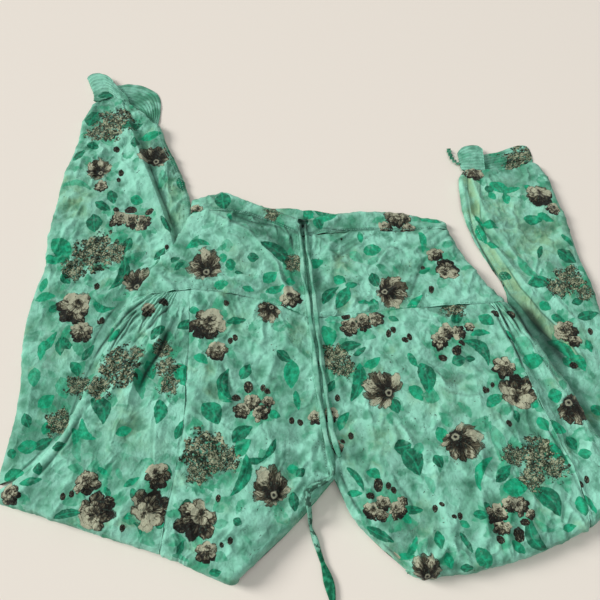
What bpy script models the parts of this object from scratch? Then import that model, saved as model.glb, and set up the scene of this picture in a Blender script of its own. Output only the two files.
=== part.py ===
"""Harem trousers laid flat, front up, with both legs folded under at the knee.

The cloth is modelled as thin walls over the hidden layers that they lie on. Lengths are in
millimetres until the meshes are made. The origin is on the surface that the garment lies on,
under the middle of the yoke, with +Y towards the waist and +Z up.
"""
import math
from collections import namedtuple

import bmesh
import bpy
from mathutils import Vector

MM = 0.001

# Cloth and seams
WALL = 2.0              # a cloth wall
CASING_WALL = 3.4       # the doubled waist casing
SEAM_GAP = 0.4          # between pieces that meet at a seam
LAYER_GAP = 0.6         # between a wall and the layers that it lies on
EDGE_RADIUS = 10.0      # how far in a folded edge starts to roll down
EDGE_SHARE = 0.45       # and the most of a narrow side that it takes
TUCK = 18.0             # how far inside a side edge the hidden layers stop, to let the lower leg pass
LOBE_OUT = 0.3          # how far a lower folded layer stays inside the outline
LOBE = ((2.2, 0.0), (LOBE_OUT, 0.3), (LOBE_OUT, 0.7), (2.2, 1.0))   # its inset and share of its height
SEAM_STEP = 0.006       # half a seam gap, in rows of the section tables
CORE_CLEARANCE = 0.1    # rows by which the hidden layers stop short of the casing
CORE_DIP = 0.6          # share of the front panel after which they pass under the gathers' hollows
CORE_END_ROLL = 0.5     # how much of an edge's roll they keep where the lower leg passes beneath
CORE_LEAST = 2.0        # their least width beside the seam
CUFF_CLEARANCE = 0.62   # rows by which they stop short of the cuff seam

# Waist casing
HOLE_ROW = 0.36         # drawstring hole, in rows from the top of the casing
HOLE_HALF_WIDTH = 4.0
HOLE_ROWS = 0.15        # and half its height, in rows
BACK_CASING_TOP = 3.8
BACK_CASING_BOTTOM = 0.4
BACK_CASING_INSET = 1.0
PEEP_HEIGHT = 19.0      # how far the back of the casing shows over the front
PEEP_X = 2.0
PEEP_WIDTH = 38.0

# Knee folds
NOSE_REACH = 10.0       # how far a knee fold bulges past its last section
NOSE_MID = 11.0         # height of the middle of that bulge
NOSE_REST = 0.5         # height of its underside
NOSE_ANGLES = (30, 60, 90, 125, 160)
CORNER_ROUND = 16.0     # how far from its ends the bulge starts to taper
CORNER_TAPER = 0.9
# How the hidden layers end in a knee fold: rows before its last section, reach past it, how much
# they narrow at each side, and how far their top and their underside close in on the middle
CORE_END = ((0.1, 0.0, 0.0, 0.0, 0.0), (0.0, 0.0, 4.0, 0.0, 0.4), (0.0, 4.2, 6.0, 0.36, 0.62))

# Gathers of the side panels
PLEAT_HEIGHT = 1.7
PLEAT_COLUMNS = 12      # two for each gather
PLEAT_START = 0.35      # share of their height at the seam
PLEAT_ROWS = 5.0        # rows below it over which they die out

# Drawstring
CORD_DIAMETER = 6.0
CORD_SPACING = 12.0     # between points along it

COLOURS = {
    "print": (0.24, 0.60, 0.43),
    "casing": (0.28, 0.64, 0.47),
    "cuff": (0.22, 0.62, 0.46),
    "hidden": (0.16, 0.42, 0.31),
    "cord": (0.12, 0.48, 0.33),
}

# One section across half of the garment: where it starts, where its lengthwise seam or fold runs and
# where it ends, how far it bows towards the waist, its height at the start and at the end, how far
# the start rolls down (0 is a seam, 1 a folded edge), the heights where the start and the end
# come to rest, and how far the lower leg passes beneath the end (0 or 1).
Section = namedtuple(
    "Section",
    "start_x start_y seam_x seam_y end_x end_y bow start_top end_top roll start_rest end_rest beneath",
)

WAIST_TOP, WAIST_SEAM, YOKE_SEAM, CROTCH, KNEE = 0, 1, 4, 8, 10

FRONT_LEFT = (
    Section(4, 119, -112, 166, -154, 152, 0, 9.0, 10.5, 0, 5, 7.0, 1),      # top of the casing
    Section(4, 92, -100, 132, -154, 128, 5, 10.5, 14.0, 0, 5, 9.4, 1),      # waist seam
    Section(8, 50, -113, 87, -174, 80, 5, 12.5, 15.5, 0, 5, 9.4, 1),
    Section(12, 8, -128, 46, -197, 41, 6, 15.0, 17.5, 0, 5, 9.4, 1),
    Section(16, -34, -143, 7, -220, -4, 9, 17.0, 20.0, 0, 6, 9.4, 1),       # yoke seam
    Section(19, -65, -141, -48, -243, -50, 4, 19.0, 22.0, 0, 7, 9.4, 1),
    Section(24, -120, -139, -112, -258, -118, 0, 20.0, 24.0, 0, 7, 9.4, 1),
    Section(33, -180, -138, -172, -276, -174, 0, 22.0, 25.0, 0, 7, 9.4, 1),
    Section(40, -232, -144, -232, -304, -216, 0, 23.0, 25.0, 0.3, 7, 9.4, 1),   # crotch
    Section(-7, -284, -149, -270, -330, -236, 0, 24.0, 25.0, 1, 7, 9.4, 1),
    Section(-66, -337, -152, -304, -349, -247, 0, 24.0, 24.0, 1, 7, 9.4, 1),    # knee
)

FRONT_RIGHT = (
    Section(4, 119, 150, 130, 203, 118, 8, 9.0, 8.0, 0, 5, 4.4, 0),         # top of the casing
    Section(4, 92, 150, 100, 206, 104, 4, 10.5, 9.6, 0, 5, 5.0, 0),         # waist seam
    Section(8, 50, 180, 62, 226, 58, 3, 12.5, 12.0, 0, 5, 5.0, 0),
    Section(12, 8, 214, 24, 245, 22, 2, 15.0, 14.5, 0, 5, 5.0, 0),
    Section(16, -34, 246, -12, 269, -8, 2, 17.0, 19.0, 0, 6, 8.6, 0.3),     # yoke seam
    Section(19, -65, 260, -56, 293, -52, 0, 19.0, 22.0, 0, 7, 9.4, 1),
    Section(24, -120, 278, -116, 328, -118, 0, 20.0, 24.0, 0, 7, 9.4, 1),
    Section(33, -180, 297, -176, 351, -178, 0, 22.0, 25.0, 0, 7, 9.4, 1),
    Section(40, -232, 311, -218, 374, -218, 0, 23.0, 25.0, 0.3, 7, 9.4, 1),     # crotch
    Section(66, -282, 318, -252, 388, -228, -8, 24.0, 25.0, 1, 7, 9.4, 1),
    Section(116, -328, 321, -276, 397, -231, -13, 24.0, 24.0, 1, 7, 9.4, 1),    # knee
)

LOWER_LEFT = (
    Section(-213, 288, -250, 331, -322, 320, 4, 8, 8, 1, 3.6, 3.6, 0),      # cuff seam
    Section(-208, 272, -246, 290, -331, 296, 0, 10, 11, 1, 3.6, 3.6, 0),
    Section(-193, 240, -235, 235, -333, 250, 0, 11, 12, 1, 3.6, 3.6, 0),
    Section(-173, 199, -220, 196, -344, 199, 0, 10, 12, 1, 3.6, 3.6, 0),
    Section(-157, 150, -204, 150, -347, 147, 0, 9, 11, 1, 3.6, 3.6, 0),
    Section(-152, 100, -186, 98, -349, 98, 0, 8.5, 10, 1, 3.6, 3.6, 0),
    Section(-178, 51, -215, 50, -346, 51, 0, 8.5, 10, 1, 3.6, 3.6, 0),
    Section(-206, 4, -250, 4, -353, 6, 0, 8.5, 9.5, 1, 3.6, 3.6, 0),
    Section(-228, -48, -270, -50, -357, -56, 0, 8.5, 9, 1, 3.6, 3.6, 0),
    Section(-243, -116, -280, -116, -348, -118, 0, 8.5, 9, 1, 3.6, 3.6, 0),
    Section(-261, -172, -295, -172, -348, -174, 0, 8.5, 8.5, 1, 3.6, 3.6, 0),
    Section(-289, -208, -318, -210, -351, -212, 0, 8.5, 8.5, 1, 3.6, 3.6, 0),
    Section(-316, -228, -333, -232, -351, -238, 0, 8.5, 8.5, 1, 3.6, 3.6, 0),
)

LOWER_RIGHT = (
    Section(238, 204, 308, 206, 345, 220, 0, 8, 8, 1, 3.6, 3.6, 0),         # cuff seam
    Section(232, 186, 285, 184, 361, 192, 0, 10, 10, 1, 3.6, 3.6, 0),
    Section(231, 150, 285, 150, 367, 160, 0, 11, 12, 1, 3.6, 3.6, 0),
    Section(233, 122, 290, 120, 374, 122, 0, 11, 12, 1, 3.6, 3.6, 0),
    Section(243, 86, 298, 84, 379, 86, 0, 10, 11, 1, 3.6, 3.6, 0),
    Section(258, 51, 310, 48, 384, 51, 0, 9, 11, 1, 3.6, 3.6, 0),
    Section(273, 18, 322, 18, 390, 20, 0, 8.5, 10, 1, 3.6, 3.6, 0),
    Section(276, -14, 325, -14, 394, -16, 0, 8.5, 9.5, 1, 3.6, 3.6, 0),
    Section(279, -54, 335, -54, 400, -56, 0, 8.5, 9, 1, 3.6, 3.6, 0),
    Section(312, -116, 355, -118, 409, -118, 0, 8.5, 9, 1, 3.6, 3.6, 0),
    Section(335, -172, 370, -172, 414, -172, 0, 8.5, 8.5, 1, 3.6, 3.6, 0),
    Section(350, -200, 380, -203, 412, -204, 0, 8.5, 8.5, 1, 3.6, 3.6, 0),
    Section(368, -215, 386, -219, 406, -224, 0, 8.5, 8.5, 1, 3.6, 3.6, 0),
)

# Soft creases that stand up from the cloth: two ends, height and half width.
Crease = namedtuple("Crease", "from_x from_y to_x to_y height width")
FRONT_CREASES = (
    Crease(-112, 116, -52, 75, 2.0, 13),
    Crease(-52, 75, -18, 0, 2.0, 13),
    Crease(190, 84, 80, 42, 1.5, 15),
    Crease(190, 62, 110, 8, 1.2, 14),
    Crease(-226, -132, -268, -180, 2.0, 13),
    Crease(-268, -180, -300, -226, 2.0, 13),
    Crease(-176, -120, -167, -218, 2.4, 15),
    Crease(-167, -218, -190, -262, 2.0, 15),
    Crease(-96, -80, -60, -220, 1.5, 16),
    Crease(-20, -70, -12, -200, 1.2, 15),
    Crease(70, -80, 96, -230, 1.5, 16),
    Crease(150, -60, 184, -131, 1.6, 15),
    Crease(184, -131, 170, -240, 1.5, 15),
    Crease(240, -90, 262, -220, 1.5, 15),
    Crease(222, -240, 228, -290, 2.0, 12),
)
LOWER_CREASES = (
    Crease(-240, 262, -206, 160, 2.2, 10),
    Crease(286, 150, 300, 80, 1.6, 12),
)

# Cuff bands, from the end that lies on the surface, round the fold, to the end that lies on top.
CuffStation = namedtuple("CuffStation", "seam_x seam_y free_x free_y height")
CUFF_LEFT = (
    CuffStation(-217, 288, -217, 332, 1.6),
    CuffStation(-230, 302, -226, 352, 1.6),
    CuffStation(-246, 318, -246, 366, 1.6),
    CuffStation(-264, 322, -270, 370, 1.6),
    CuffStation(-284, 324, -290, 373, 1.6),
    CuffStation(-300, 325, -307, 375, 1.6),
    CuffStation(-315, 323.5, -322, 375, 2.0),
    CuffStation(-326, 323, -333, 370, 4.4),
    CuffStation(-316, 321.7, -322, 380, 6.9),
    CuffStation(-300, 324.0, -308, 383, 7.4),
    CuffStation(-284, 326.4, -291, 379, 7.4),
    CuffStation(-268, 328.9, -274, 360, 7.0),
)
CUFF_RIGHT = (
    CuffStation(340, 213, 342, 240, 1.6),
    CuffStation(326, 209, 332, 253, 1.6),
    CuffStation(310, 202, 314, 247, 1.6),
    CuffStation(292, 201, 295, 240, 1.6),
    CuffStation(272, 203, 272, 238, 1.6),
    CuffStation(256, 206, 254, 238, 1.6),
    CuffStation(245, 206.5, 241, 239, 2.0),
    CuffStation(235, 206.5, 228, 238, 4.4),
    CuffStation(245, 205.0, 241, 244, 6.9),
    CuffStation(256, 205.2, 255, 248, 7.4),
    CuffStation(268, 205.5, 269, 247, 7.4),
    CuffStation(281, 205.9, 282, 238, 7.0),
)

# The drawstring's two ends, from the hole in the casing: place and height of the cord's middle.
LONG_END = (
    (0.6, 109, 13.2), (0, 92, 14.4), (3, 60, 15.8), (4, 30, 17.6), (9, 0, 19.2), (13, -34, 21.0),
    (17, -70, 22.8), (20, -110, 23.6), (24, -145, 24.8), (30, -185, 26.0), (37, -214, 26.8),
    (37, -230, 27.4), (26, -238, 27.8), (14, -243, 27.8), (9, -250, 28.0), (9, -259, 28.2),
    (10.5, -268, 23.5), (11.5, -276, 13.0), (12.5, -285, 5.0), (17, -297, 3.4), (22, -312, 3.4),
    (29, -332, 3.4), (34, -350, 3.4), (36, -364, 3.4),
)
SHORT_END = (
    (7.6, 109, 13.2), (9, 92, 14.4), (12, 60, 15.8), (15, 30, 17.6), (18, 0, 19.2), (21, -34, 21.0),
    (25, -70, 22.8), (29, -110, 23.6), (33, -145, 24.8), (39, -185, 26.0), (46, -210, 26.8),
)

# How finely the walls are divided
ROLL_ANGLES = (0, 35, 65)   # round a folded edge, in degrees
FRONT_COLUMNS_LEFT = 9
FRONT_COLUMNS_RIGHT = 13
BACK_CASING_COLUMNS = (4, 3)
BACK_CASING_ROWS = 2
YOKE_ROWS = 5
THIGH_ROWS = 8
KNEE_ROWS = 5
LOWER_ROWS = 16
LOWER_COLUMNS = 4
CORE_COLUMNS = 3
CORE_END_COLUMNS = 2
CUFF_SPACING = 8.0
CUFF_LEVELS = 2
ROUTE_STEPS = 12


def smooth(before, here, there, after, t):
    """A value between here and there, on a smooth curve through all four."""
    slope_in = (there - before) / 2
    slope_out = (after - here) / 2
    return (here * (2 * t**3 - 3 * t**2 + 1) + slope_in * (t**3 - 2 * t**2 + t)
            + there * (3 * t**2 - 2 * t**3) + slope_out * (t**3 - t**2))


def section_at(rows, station):
    """The section at a fractional row, on a smooth curve with a corner at the crotch."""
    low = min(int(station), len(rows) - 2)
    t = station - low
    first, last = 0, len(rows) - 1
    if rows in (FRONT_LEFT, FRONT_RIGHT):
        first, last = (0, CROTCH) if low < CROTCH else (CROTCH, last)
    around = [rows[max(first, min(last, low + k))] for k in (-1, 0, 1, 2)]
    section = Section(*(smooth(*values, t) for values in zip(*around)))
    roll = rows[low].roll + (rows[low + 1].roll - rows[low].roll) * t
    return section._replace(roll=roll, beneath=max(0.0, min(1.0, section.beneath)))


def widths(section):
    """Length of a section before and after its lengthwise seam."""
    first = math.hypot(section.seam_x - section.start_x, section.seam_y - section.start_y)
    second = math.hypot(section.end_x - section.seam_x, section.end_y - section.seam_y)
    return first, second


def place(section, across, height):
    """The point at a distance across the section, at a height."""
    first, second = widths(section)
    if across <= first:
        f = across / first
        x = section.start_x + (section.seam_x - section.start_x) * f
        y = section.start_y + (section.seam_y - section.start_y) * f
        y += section.bow * 4 * f * (1 - f)
    else:
        f = (across - first) / second
        x = section.seam_x + (section.end_x - section.seam_x) * f
        y = section.seam_y + (section.end_y - section.seam_y) * f
    return Vector((x, y, height))


def crease_height(creases, x, y):
    """How far the soft creases lift the cloth at a point."""
    lift = 0.0
    for crease in creases:
        ax, ay = crease.to_x - crease.from_x, crease.to_y - crease.from_y
        f = ((x - crease.from_x) * ax + (y - crease.from_y) * ay) / (ax * ax + ay * ay)
        f = max(0.0, min(1.0, f))
        distance = math.hypot(x - crease.from_x - ax * f, y - crease.from_y - ay * f)
        lift = max(lift, crease.height * math.exp(-(distance / crease.width) ** 2))
    return lift


def pleat_strength(station):
    """Gathers are deepest just under the yoke seam and die out towards the knee."""
    if station <= YOKE_SEAM:
        return 0.0
    down = station - YOKE_SEAM
    return PLEAT_HEIGHT * min(1.0, PLEAT_START + down) * max(0.0, 1 - down / PLEAT_ROWS)


def spread(low, high, count):
    """Evenly spaced values from low to high."""
    return [low + (high - low) * k / count for k in range(count + 1)]


def across_positions(section, counts, depth, trim):
    """Where one surface of a section has its points: (distance across, share of the roll, zone).

    The trim is the gap that the start keeps to its neighbour.
    """
    first, second = widths(section)
    front_count, side_count = counts
    radius = min(EDGE_RADIUS, EDGE_SHARE * second)
    entries = []
    for angle in ROLL_ANGLES:
        inset = EDGE_RADIUS - (EDGE_RADIUS - section.roll * depth) * math.cos(math.radians(angle))
        inset = trim + inset * (EDGE_RADIUS - trim) / EDGE_RADIUS
        entries.append((inset, 1 - math.sin(math.radians(angle)), "start"))
    entries += [(w, 0.0, "front") for w in spread(EDGE_RADIUS, first, front_count)]
    entries += [(w, 0.0, "side") for w in spread(first, first + second - radius, side_count)[1:]]
    for angle in reversed(ROLL_ANGLES):
        inset = radius - (radius - depth) * math.cos(math.radians(angle))
        entries.append((first + second - inset, 1 - math.sin(math.radians(angle)), "end"))
    return entries


def surface_row(rows, station, depth, counts, trim):
    """One row of points on the surface that lies a depth inside the cloth's outer face."""
    section = section_at(rows, station)
    whole = sum(widths(section))
    on_front = rows in (FRONT_LEFT, FRONT_RIGHT)
    pleat = pleat_strength(station) if on_front else 0.0
    creases = FRONT_CREASES if on_front else LOWER_CREASES
    points = []
    side_index = 0
    for across, share, zone in across_positions(section, counts, depth, trim):
        spot = place(section, across, 0.0)
        height = section.start_top + (section.end_top - section.start_top) * across / whole - depth
        if zone == "start":
            height -= share * section.roll * (height - section.start_rest)
        elif zone == "end":
            height -= share * (height - section.end_rest)
        else:
            height += crease_height(creases, spot.x, spot.y)
        if zone == "side":
            side_index += 1
            height += pleat * (1 if side_index % 2 else -1) * (side_index < counts[1])
        points.append(Vector((spot.x, spot.y, height)))
    return points


def knee_direction(rows):
    """Which way a knee fold bulges."""
    section = section_at(rows, KNEE)
    chord = Vector((section.end_x - section.start_x, section.end_y - section.start_y, 0)).normalized()
    ahead = Vector((chord.y, -chord.x, 0))
    return -ahead if ahead.y > 0 else ahead


def nose_rows(rows, last_row, depth):
    """Rows that carry the last row over the knee fold and down to the surface."""
    ahead = knee_direction(rows)
    result = []
    for angle in NOSE_ANGLES:
        turn = math.radians(angle)
        row = []
        for point in last_row:
            edge = min((point - last_row[0]).length, (point - last_row[-1]).length)
            taper = math.sqrt(1 - CORNER_TAPER * max(0.0, 1 - edge / CORNER_ROUND) ** 2)
            reach = (NOSE_REACH - depth) * math.sin(turn) * taper
            if angle <= 90:
                height = NOSE_MID + (point.z - NOSE_MID) * math.cos(turn)
            else:
                height = NOSE_MID + (NOSE_MID - NOSE_REST - depth) * math.cos(turn)
            row.append(Vector((point.x, point.y, height)) + ahead * reach)
        result.append(row)
    return result


def core_ring(rows, station):
    """A closed ring round the hidden layers at one section, with the lower folded layer at its edges.

    It ends with a point on the surface under the seam.
    """
    section = section_at(rows, station)
    first, second = widths(section)
    whole = first + second
    depth = WALL + LAYER_GAP
    pleat = pleat_strength(station) if rows in (FRONT_LEFT, FRONT_RIGHT) else 0.0
    tuck = section.beneath * TUCK
    show = 1 - section.beneath

    def top_at(across):
        height = section.start_top + (section.end_top - section.start_top) * across / whole - depth
        return height - pleat * (across > CORE_DIP * first)

    ring = []
    for inset, share in LOBE:
        inset = LOBE_OUT + (inset - LOBE_OUT) * section.roll
        ring.append((inset, share * (section.start_rest - LAYER_GAP)))
    for angle in ROLL_ANGLES:
        inset = EDGE_RADIUS - (EDGE_RADIUS - section.roll * depth) * math.cos(math.radians(angle))
        inset = LOBE_OUT + inset * (EDGE_RADIUS - LOBE_OUT) / EDGE_RADIUS
        share = 1 - math.sin(math.radians(angle))
        height = top_at(inset)
        ring.append((inset, height - share * section.roll * (height - section.start_rest)))
    radius = min(EDGE_RADIUS, EDGE_SHARE * second)
    inner = spread(EDGE_RADIUS, first, CORE_COLUMNS)
    outer = spread(first, max(whole - radius - tuck, first + CORE_LEAST), CORE_END_COLUMNS)
    for across in inner + outer[1:]:
        ring.append((across, top_at(across)))
    for angle in reversed(ROLL_ANGLES):
        inset = radius - (radius - depth) * math.cos(math.radians(angle))
        share = 1 - math.sin(math.radians(angle))
        across = whole - tuck - show * inset - section.beneath * CORE_END_ROLL * inset
        height = top_at(across)
        ring.append((across, height - share * show * (height - section.end_rest)))
    for inset, share in reversed(LOBE):
        inset = LOBE_OUT + (inset - LOBE_OUT) * show
        ring.append((whole - tuck - inset, share * (section.end_rest - LAYER_GAP)))
    ring.append((first, 0.0))
    return [place(section, across, height) for across, height in ring]


def core_end_rings(rows):
    """The rings that round off the hidden layers inside a knee fold."""
    ahead = knee_direction(rows)
    rings = []
    for back, reach, narrow, close_top, close_bottom in CORE_END:
        ring = core_ring(rows, KNEE - back)
        low, high = ring[0], ring[-2]
        middle = (low + high) / 2
        share = 1 - 2 * narrow / (high - low).length
        for k, point in enumerate(ring):
            close = close_top if point.z > NOSE_MID else close_bottom
            height = point.z + (NOSE_MID - point.z) * close
            flat = middle + (Vector((point.x, point.y, 0)) - middle) * share + ahead * reach
            ring[k] = Vector((flat.x, flat.y, height))
        rings.append(ring)
    return rings


def collection_named(name):
    collection = bpy.data.collections.new(name)
    bpy.context.scene.collection.children.link(collection)
    return collection


def cloth_material(name, colour):
    material = bpy.data.materials.new(name)
    material.use_nodes = True
    shader = material.node_tree.nodes["Principled BSDF"]
    shader.inputs["Base Color"].default_value = (*COLOURS[colour], 1.0)
    shader.inputs["Roughness"].default_value = 0.85
    shader.inputs["Metallic"].default_value = 0.0
    return material


def add_mesh(name, vertices, faces, colour, collection):
    """A closed mesh object, with its faces turned outwards."""
    mesh = bpy.data.meshes.new(name)
    mesh.from_pydata([v * MM for v in vertices], [], faces)
    shape = bmesh.new()
    shape.from_mesh(mesh)
    bmesh.ops.recalc_face_normals(shape, faces=shape.faces[:])
    shape.to_mesh(mesh)
    shape.free()
    mesh.materials.append(cloth_material(name + "_cloth", colour))
    thing = bpy.data.objects.new(name, mesh)
    collection.objects.link(thing)
    return thing


def add_wall(name, outer, inner, colour, collection):
    """A cloth wall between two grids of points."""
    rows, columns = len(outer), len(outer[0])
    vertices = [p for grid in (outer, inner) for row in grid for p in row]

    def at(layer, i, j):
        return (layer * rows + i) * columns + j

    faces = []
    for i in range(rows - 1):
        for j in range(columns - 1):
            for layer in (0, 1):
                a, b = at(layer, i, j), at(layer, i, j + 1)
                c, d = at(layer, i + 1, j + 1), at(layer, i + 1, j)
                faces += [(a, b, c), (a, c, d)] if layer == 0 else [(a, c, b), (a, d, c)]
    edge = [(0, j) for j in range(columns)]
    edge += [(i, columns - 1) for i in range(1, rows)]
    edge += [(rows - 1, j) for j in range(columns - 2, -1, -1)]
    edge += [(i, 0) for i in range(rows - 2, 0, -1)]
    for (i, j), (k, m) in zip(edge, edge[1:] + edge[:1]):
        faces.append((at(0, i, j), at(1, i, j), at(1, k, m), at(0, k, m)))
    return add_mesh(name, vertices, faces, colour, collection)


def add_rings(name, rings, colour, collection):
    """A solid lofted through closed rings, whose caps fan out from the middle of their seam."""
    count = len(rings[0])
    seam = len(LOBE) + len(ROLL_ANGLES) + CORE_COLUMNS
    vertices = [p for ring in rings for p in ring]
    faces = []
    for i in range(len(rings) - 1):
        for j in range(count):
            a, b = i * count + j, i * count + (j + 1) % count
            c, d = b + count, a + count
            faces += [(a, b, c), (a, c, d)]
    for end in (0, len(rings) - 1):
        vertices.append((rings[end][seam] + rings[end][-1]) / 2)
        faces += [(len(vertices) - 1, end * count + j, end * count + (j + 1) % count) for j in range(count)]
    return add_mesh(name, vertices, faces, colour, collection)


def piece_wall(name, rows, stations, counts, columns, collection, wall=WALL, colour="print", nose=False,
               hole=None):
    """A cloth piece: a run of sections, and a run of columns across them.

    A hole is (station, half width), cut into the start of the piece.
    """
    first_column, last_column = columns
    grids = []
    for depth in (0.0, wall):
        grid = []
        for station in stations:
            trim = hole[1] if hole and station == hole[0] else SEAM_GAP / 2
            grid.append(surface_row(rows, station, depth, counts, trim))
        if nose:
            grid += nose_rows(rows, grid[-1], depth)
        last = len(grid[0]) - 1
        cut = [row[first_column:last_column + 1] for row in grid]
        for row in cut:
            if first_column > 0:
                row[0] = row[0] + (row[1] - row[0]).normalized() * SEAM_GAP / 2
            if last_column < last:
                row[-1] = row[-1] + (row[-2] - row[-1]).normalized() * SEAM_GAP / 2
        grids.append(cut)
    return add_wall(name, grids[0], grids[1], colour, collection)


def front_stations():
    """Rows of the section tables at which the casing, the yoke and the leg have points."""
    casing = [WAIST_TOP, HOLE_ROW - HOLE_ROWS, HOLE_ROW, HOLE_ROW + HOLE_ROWS, WAIST_SEAM - SEAM_STEP]
    yoke = spread(WAIST_SEAM + SEAM_STEP, YOKE_SEAM - SEAM_STEP, YOKE_ROWS)
    leg = spread(YOKE_SEAM + SEAM_STEP, CROTCH, THIGH_ROWS) + spread(CROTCH, KNEE, KNEE_ROWS)[1:]
    return casing, yoke, leg


def lower_stations(rows):
    """Rows at which a lower leg has points."""
    return spread(0, len(rows) - 1, LOWER_ROWS)


def add_front(side, rows, front_count, collection):
    """Casing, yoke, front panel and gathered side panel of one half of the front."""
    counts = (front_count, PLEAT_COLUMNS)
    seam_column = len(ROLL_ANGLES) + front_count
    end_column = seam_column + PLEAT_COLUMNS + len(ROLL_ANGLES)
    casing, yoke, leg = front_stations()
    piece_wall("waistband_front_" + side, rows, casing, counts, (0, end_column), collection,
               wall=CASING_WALL, colour="casing", hole=(HOLE_ROW, HOLE_HALF_WIDTH))
    piece_wall("yoke_front_" + side, rows, yoke, counts, (0, end_column), collection)
    piece_wall("leg_front_" + side, rows, leg, counts, (0, seam_column), collection, nose=True)
    piece_wall("side_panel_" + side, rows, leg, counts, (seam_column, end_column), collection, nose=True)


def add_lower_leg(side, rows, collection):
    """The stretch of the back leg panel that shows beside the thigh."""
    counts = (LOWER_COLUMNS, LOWER_COLUMNS)
    last = 2 * len(ROLL_ANGLES) + 2 * LOWER_COLUMNS
    piece_wall("lower_leg_" + side, rows, lower_stations(rows), counts, (0, last), collection)


def add_hidden_layers(side, front_rows, lower_rows, collection):
    """The layers beneath: those under the thigh and the yoke, and those under the lower leg."""
    yoke, leg, lower = front_stations()[1], front_stations()[2], lower_stations(lower_rows)
    thigh = [WAIST_SEAM + CORE_CLEARANCE] + yoke[1:-1] + [YOKE_SEAM] + leg[1:-1]
    rings = [core_ring(front_rows, station) for station in thigh] + core_end_rings(front_rows)
    add_rings("folded_layers_" + side, rings, "hidden", collection)
    beneath = [CUFF_CLEARANCE] + [station for station in lower if station > CUFF_CLEARANCE]
    rings = [core_ring(lower_rows, station) for station in beneath]
    add_rings("under_layer_" + side, rings, "hidden", collection)


def add_back_casing(collection):
    """The back of the casing, flat on the surface, which peeps over the front at the middle."""
    grids = []
    for height in (BACK_CASING_TOP, BACK_CASING_BOTTOM):
        lines = []
        for rise in spread(0.0, 1.0, BACK_CASING_ROWS):
            line = []
            for rows in (FRONT_LEFT, FRONT_RIGHT):
                low = surface_row(rows, WAIST_SEAM - SEAM_STEP, 0.0, BACK_CASING_COLUMNS, SEAM_GAP)
                high = surface_row(rows, WAIST_TOP, 0.0, BACK_CASING_COLUMNS, SEAM_GAP)
                half = []
                for a, b in zip(low[:-1], high[:-1]):
                    peep = PEEP_HEIGHT * math.exp(-((b.x - PEEP_X) / PEEP_WIDTH) ** 2) - BACK_CASING_INSET
                    point = a.lerp(b + Vector((0, peep, 0)), rise)
                    half.append(Vector((point.x, point.y, height)))
                line += list(reversed(half)) if rows is FRONT_LEFT else half[1:]
            lines.append(line)
        grids.append(lines)
    add_wall("waistband_back", grids[0], grids[1], "casing", collection)


def smooth_route(points, spacing):
    """Points at an even spacing along a smooth curve through a route's own points."""
    knots = [Vector(p) for p in points]
    dense = []
    for k in range(len(knots) - 1):
        before, here = knots[max(k - 1, 0)], knots[k]
        there, after = knots[k + 1], knots[min(k + 2, len(knots) - 1)]
        dense += [smooth(before, here, there, after, step / ROUTE_STEPS) for step in range(ROUTE_STEPS)]
    dense.append(knots[-1])
    lengths = [0.0]
    for a, b in zip(dense, dense[1:]):
        lengths.append(lengths[-1] + (b - a).length)
    steps = max(2, round(lengths[-1] / spacing))
    result = []
    k = 0
    for step in range(steps + 1):
        goal = lengths[-1] * step / steps
        while k < len(dense) - 2 and lengths[k + 1] < goal:
            k += 1
        share = (goal - lengths[k]) / (lengths[k + 1] - lengths[k])
        result.append(dense[k].lerp(dense[k + 1], share))
    return result


def add_cuff(side, table, collection):
    """A cuff band: a strip that runs along the surface, turns over and comes back on top."""
    seam = smooth_route([(c.seam_x, c.seam_y, c.height) for c in table], CUFF_SPACING)
    count = len(seam) - 1
    free_knots = [(c.free_x, c.free_y, c.height) for c in table]
    length = sum((Vector(b) - Vector(a)).length for a, b in zip(free_knots, free_knots[1:]))
    free = smooth_route(free_knots, length / count)[:count] + [Vector(free_knots[-1])]
    outer, inner = [], []
    for k in range(count + 1):
        along = seam[min(k + 1, count)] - seam[max(k - 1, 0)]
        normal = along.cross(free[k] - seam[k]).normalized() * WALL / 2
        levels = [seam[k].lerp(free[k], step / CUFF_LEVELS) for step in range(CUFF_LEVELS + 1)]
        outer.append([p + normal for p in levels])
        inner.append([p - normal for p in levels])
    add_wall("cuff_" + side, outer, inner, "cuff", collection)


def add_drawstring(name, route, collection):
    """One end of the drawstring, as a tube with closed ends."""
    points = smooth_route(route, CORD_SPACING)
    curve = bpy.data.curves.new(name, "CURVE")
    curve.dimensions = "3D"
    curve.bevel_depth = CORD_DIAMETER / 2 * MM
    curve.bevel_resolution = 2
    curve.use_fill_caps = True
    spline = curve.splines.new("POLY")
    spline.points.add(len(points) - 1)
    for slot, point in zip(spline.points, points):
        slot.co = (*(point * MM), 1.0)
    curve.materials.append(cloth_material(name + "_cloth", "cord"))
    collection.objects.link(bpy.data.objects.new(name, curve))


def build():
    for thing in list(bpy.data.objects):
        bpy.data.objects.remove(thing)
    pieces = collection_named("harem_trousers")
    add_front("left", FRONT_LEFT, FRONT_COLUMNS_LEFT, pieces)
    add_front("right", FRONT_RIGHT, FRONT_COLUMNS_RIGHT, pieces)
    add_back_casing(pieces)
    add_lower_leg("left", LOWER_LEFT, pieces)
    add_lower_leg("right", LOWER_RIGHT, pieces)
    add_hidden_layers("left", FRONT_LEFT, LOWER_LEFT, pieces)
    add_hidden_layers("right", FRONT_RIGHT, LOWER_RIGHT, pieces)
    add_cuff("left", CUFF_LEFT, pieces)
    add_cuff("right", CUFF_RIGHT, pieces)
    add_drawstring("drawstring_long", LONG_END, pieces)
    add_drawstring("drawstring_short", SHORT_END, pieces)


build()
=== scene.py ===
"""The looks of the harem trousers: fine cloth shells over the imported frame, their print, stitching and tie.

Lengths are in millimetres until the meshes are made, in the frame's own axes.
"""

import math
from collections import namedtuple
from functools import partialmethod

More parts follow.
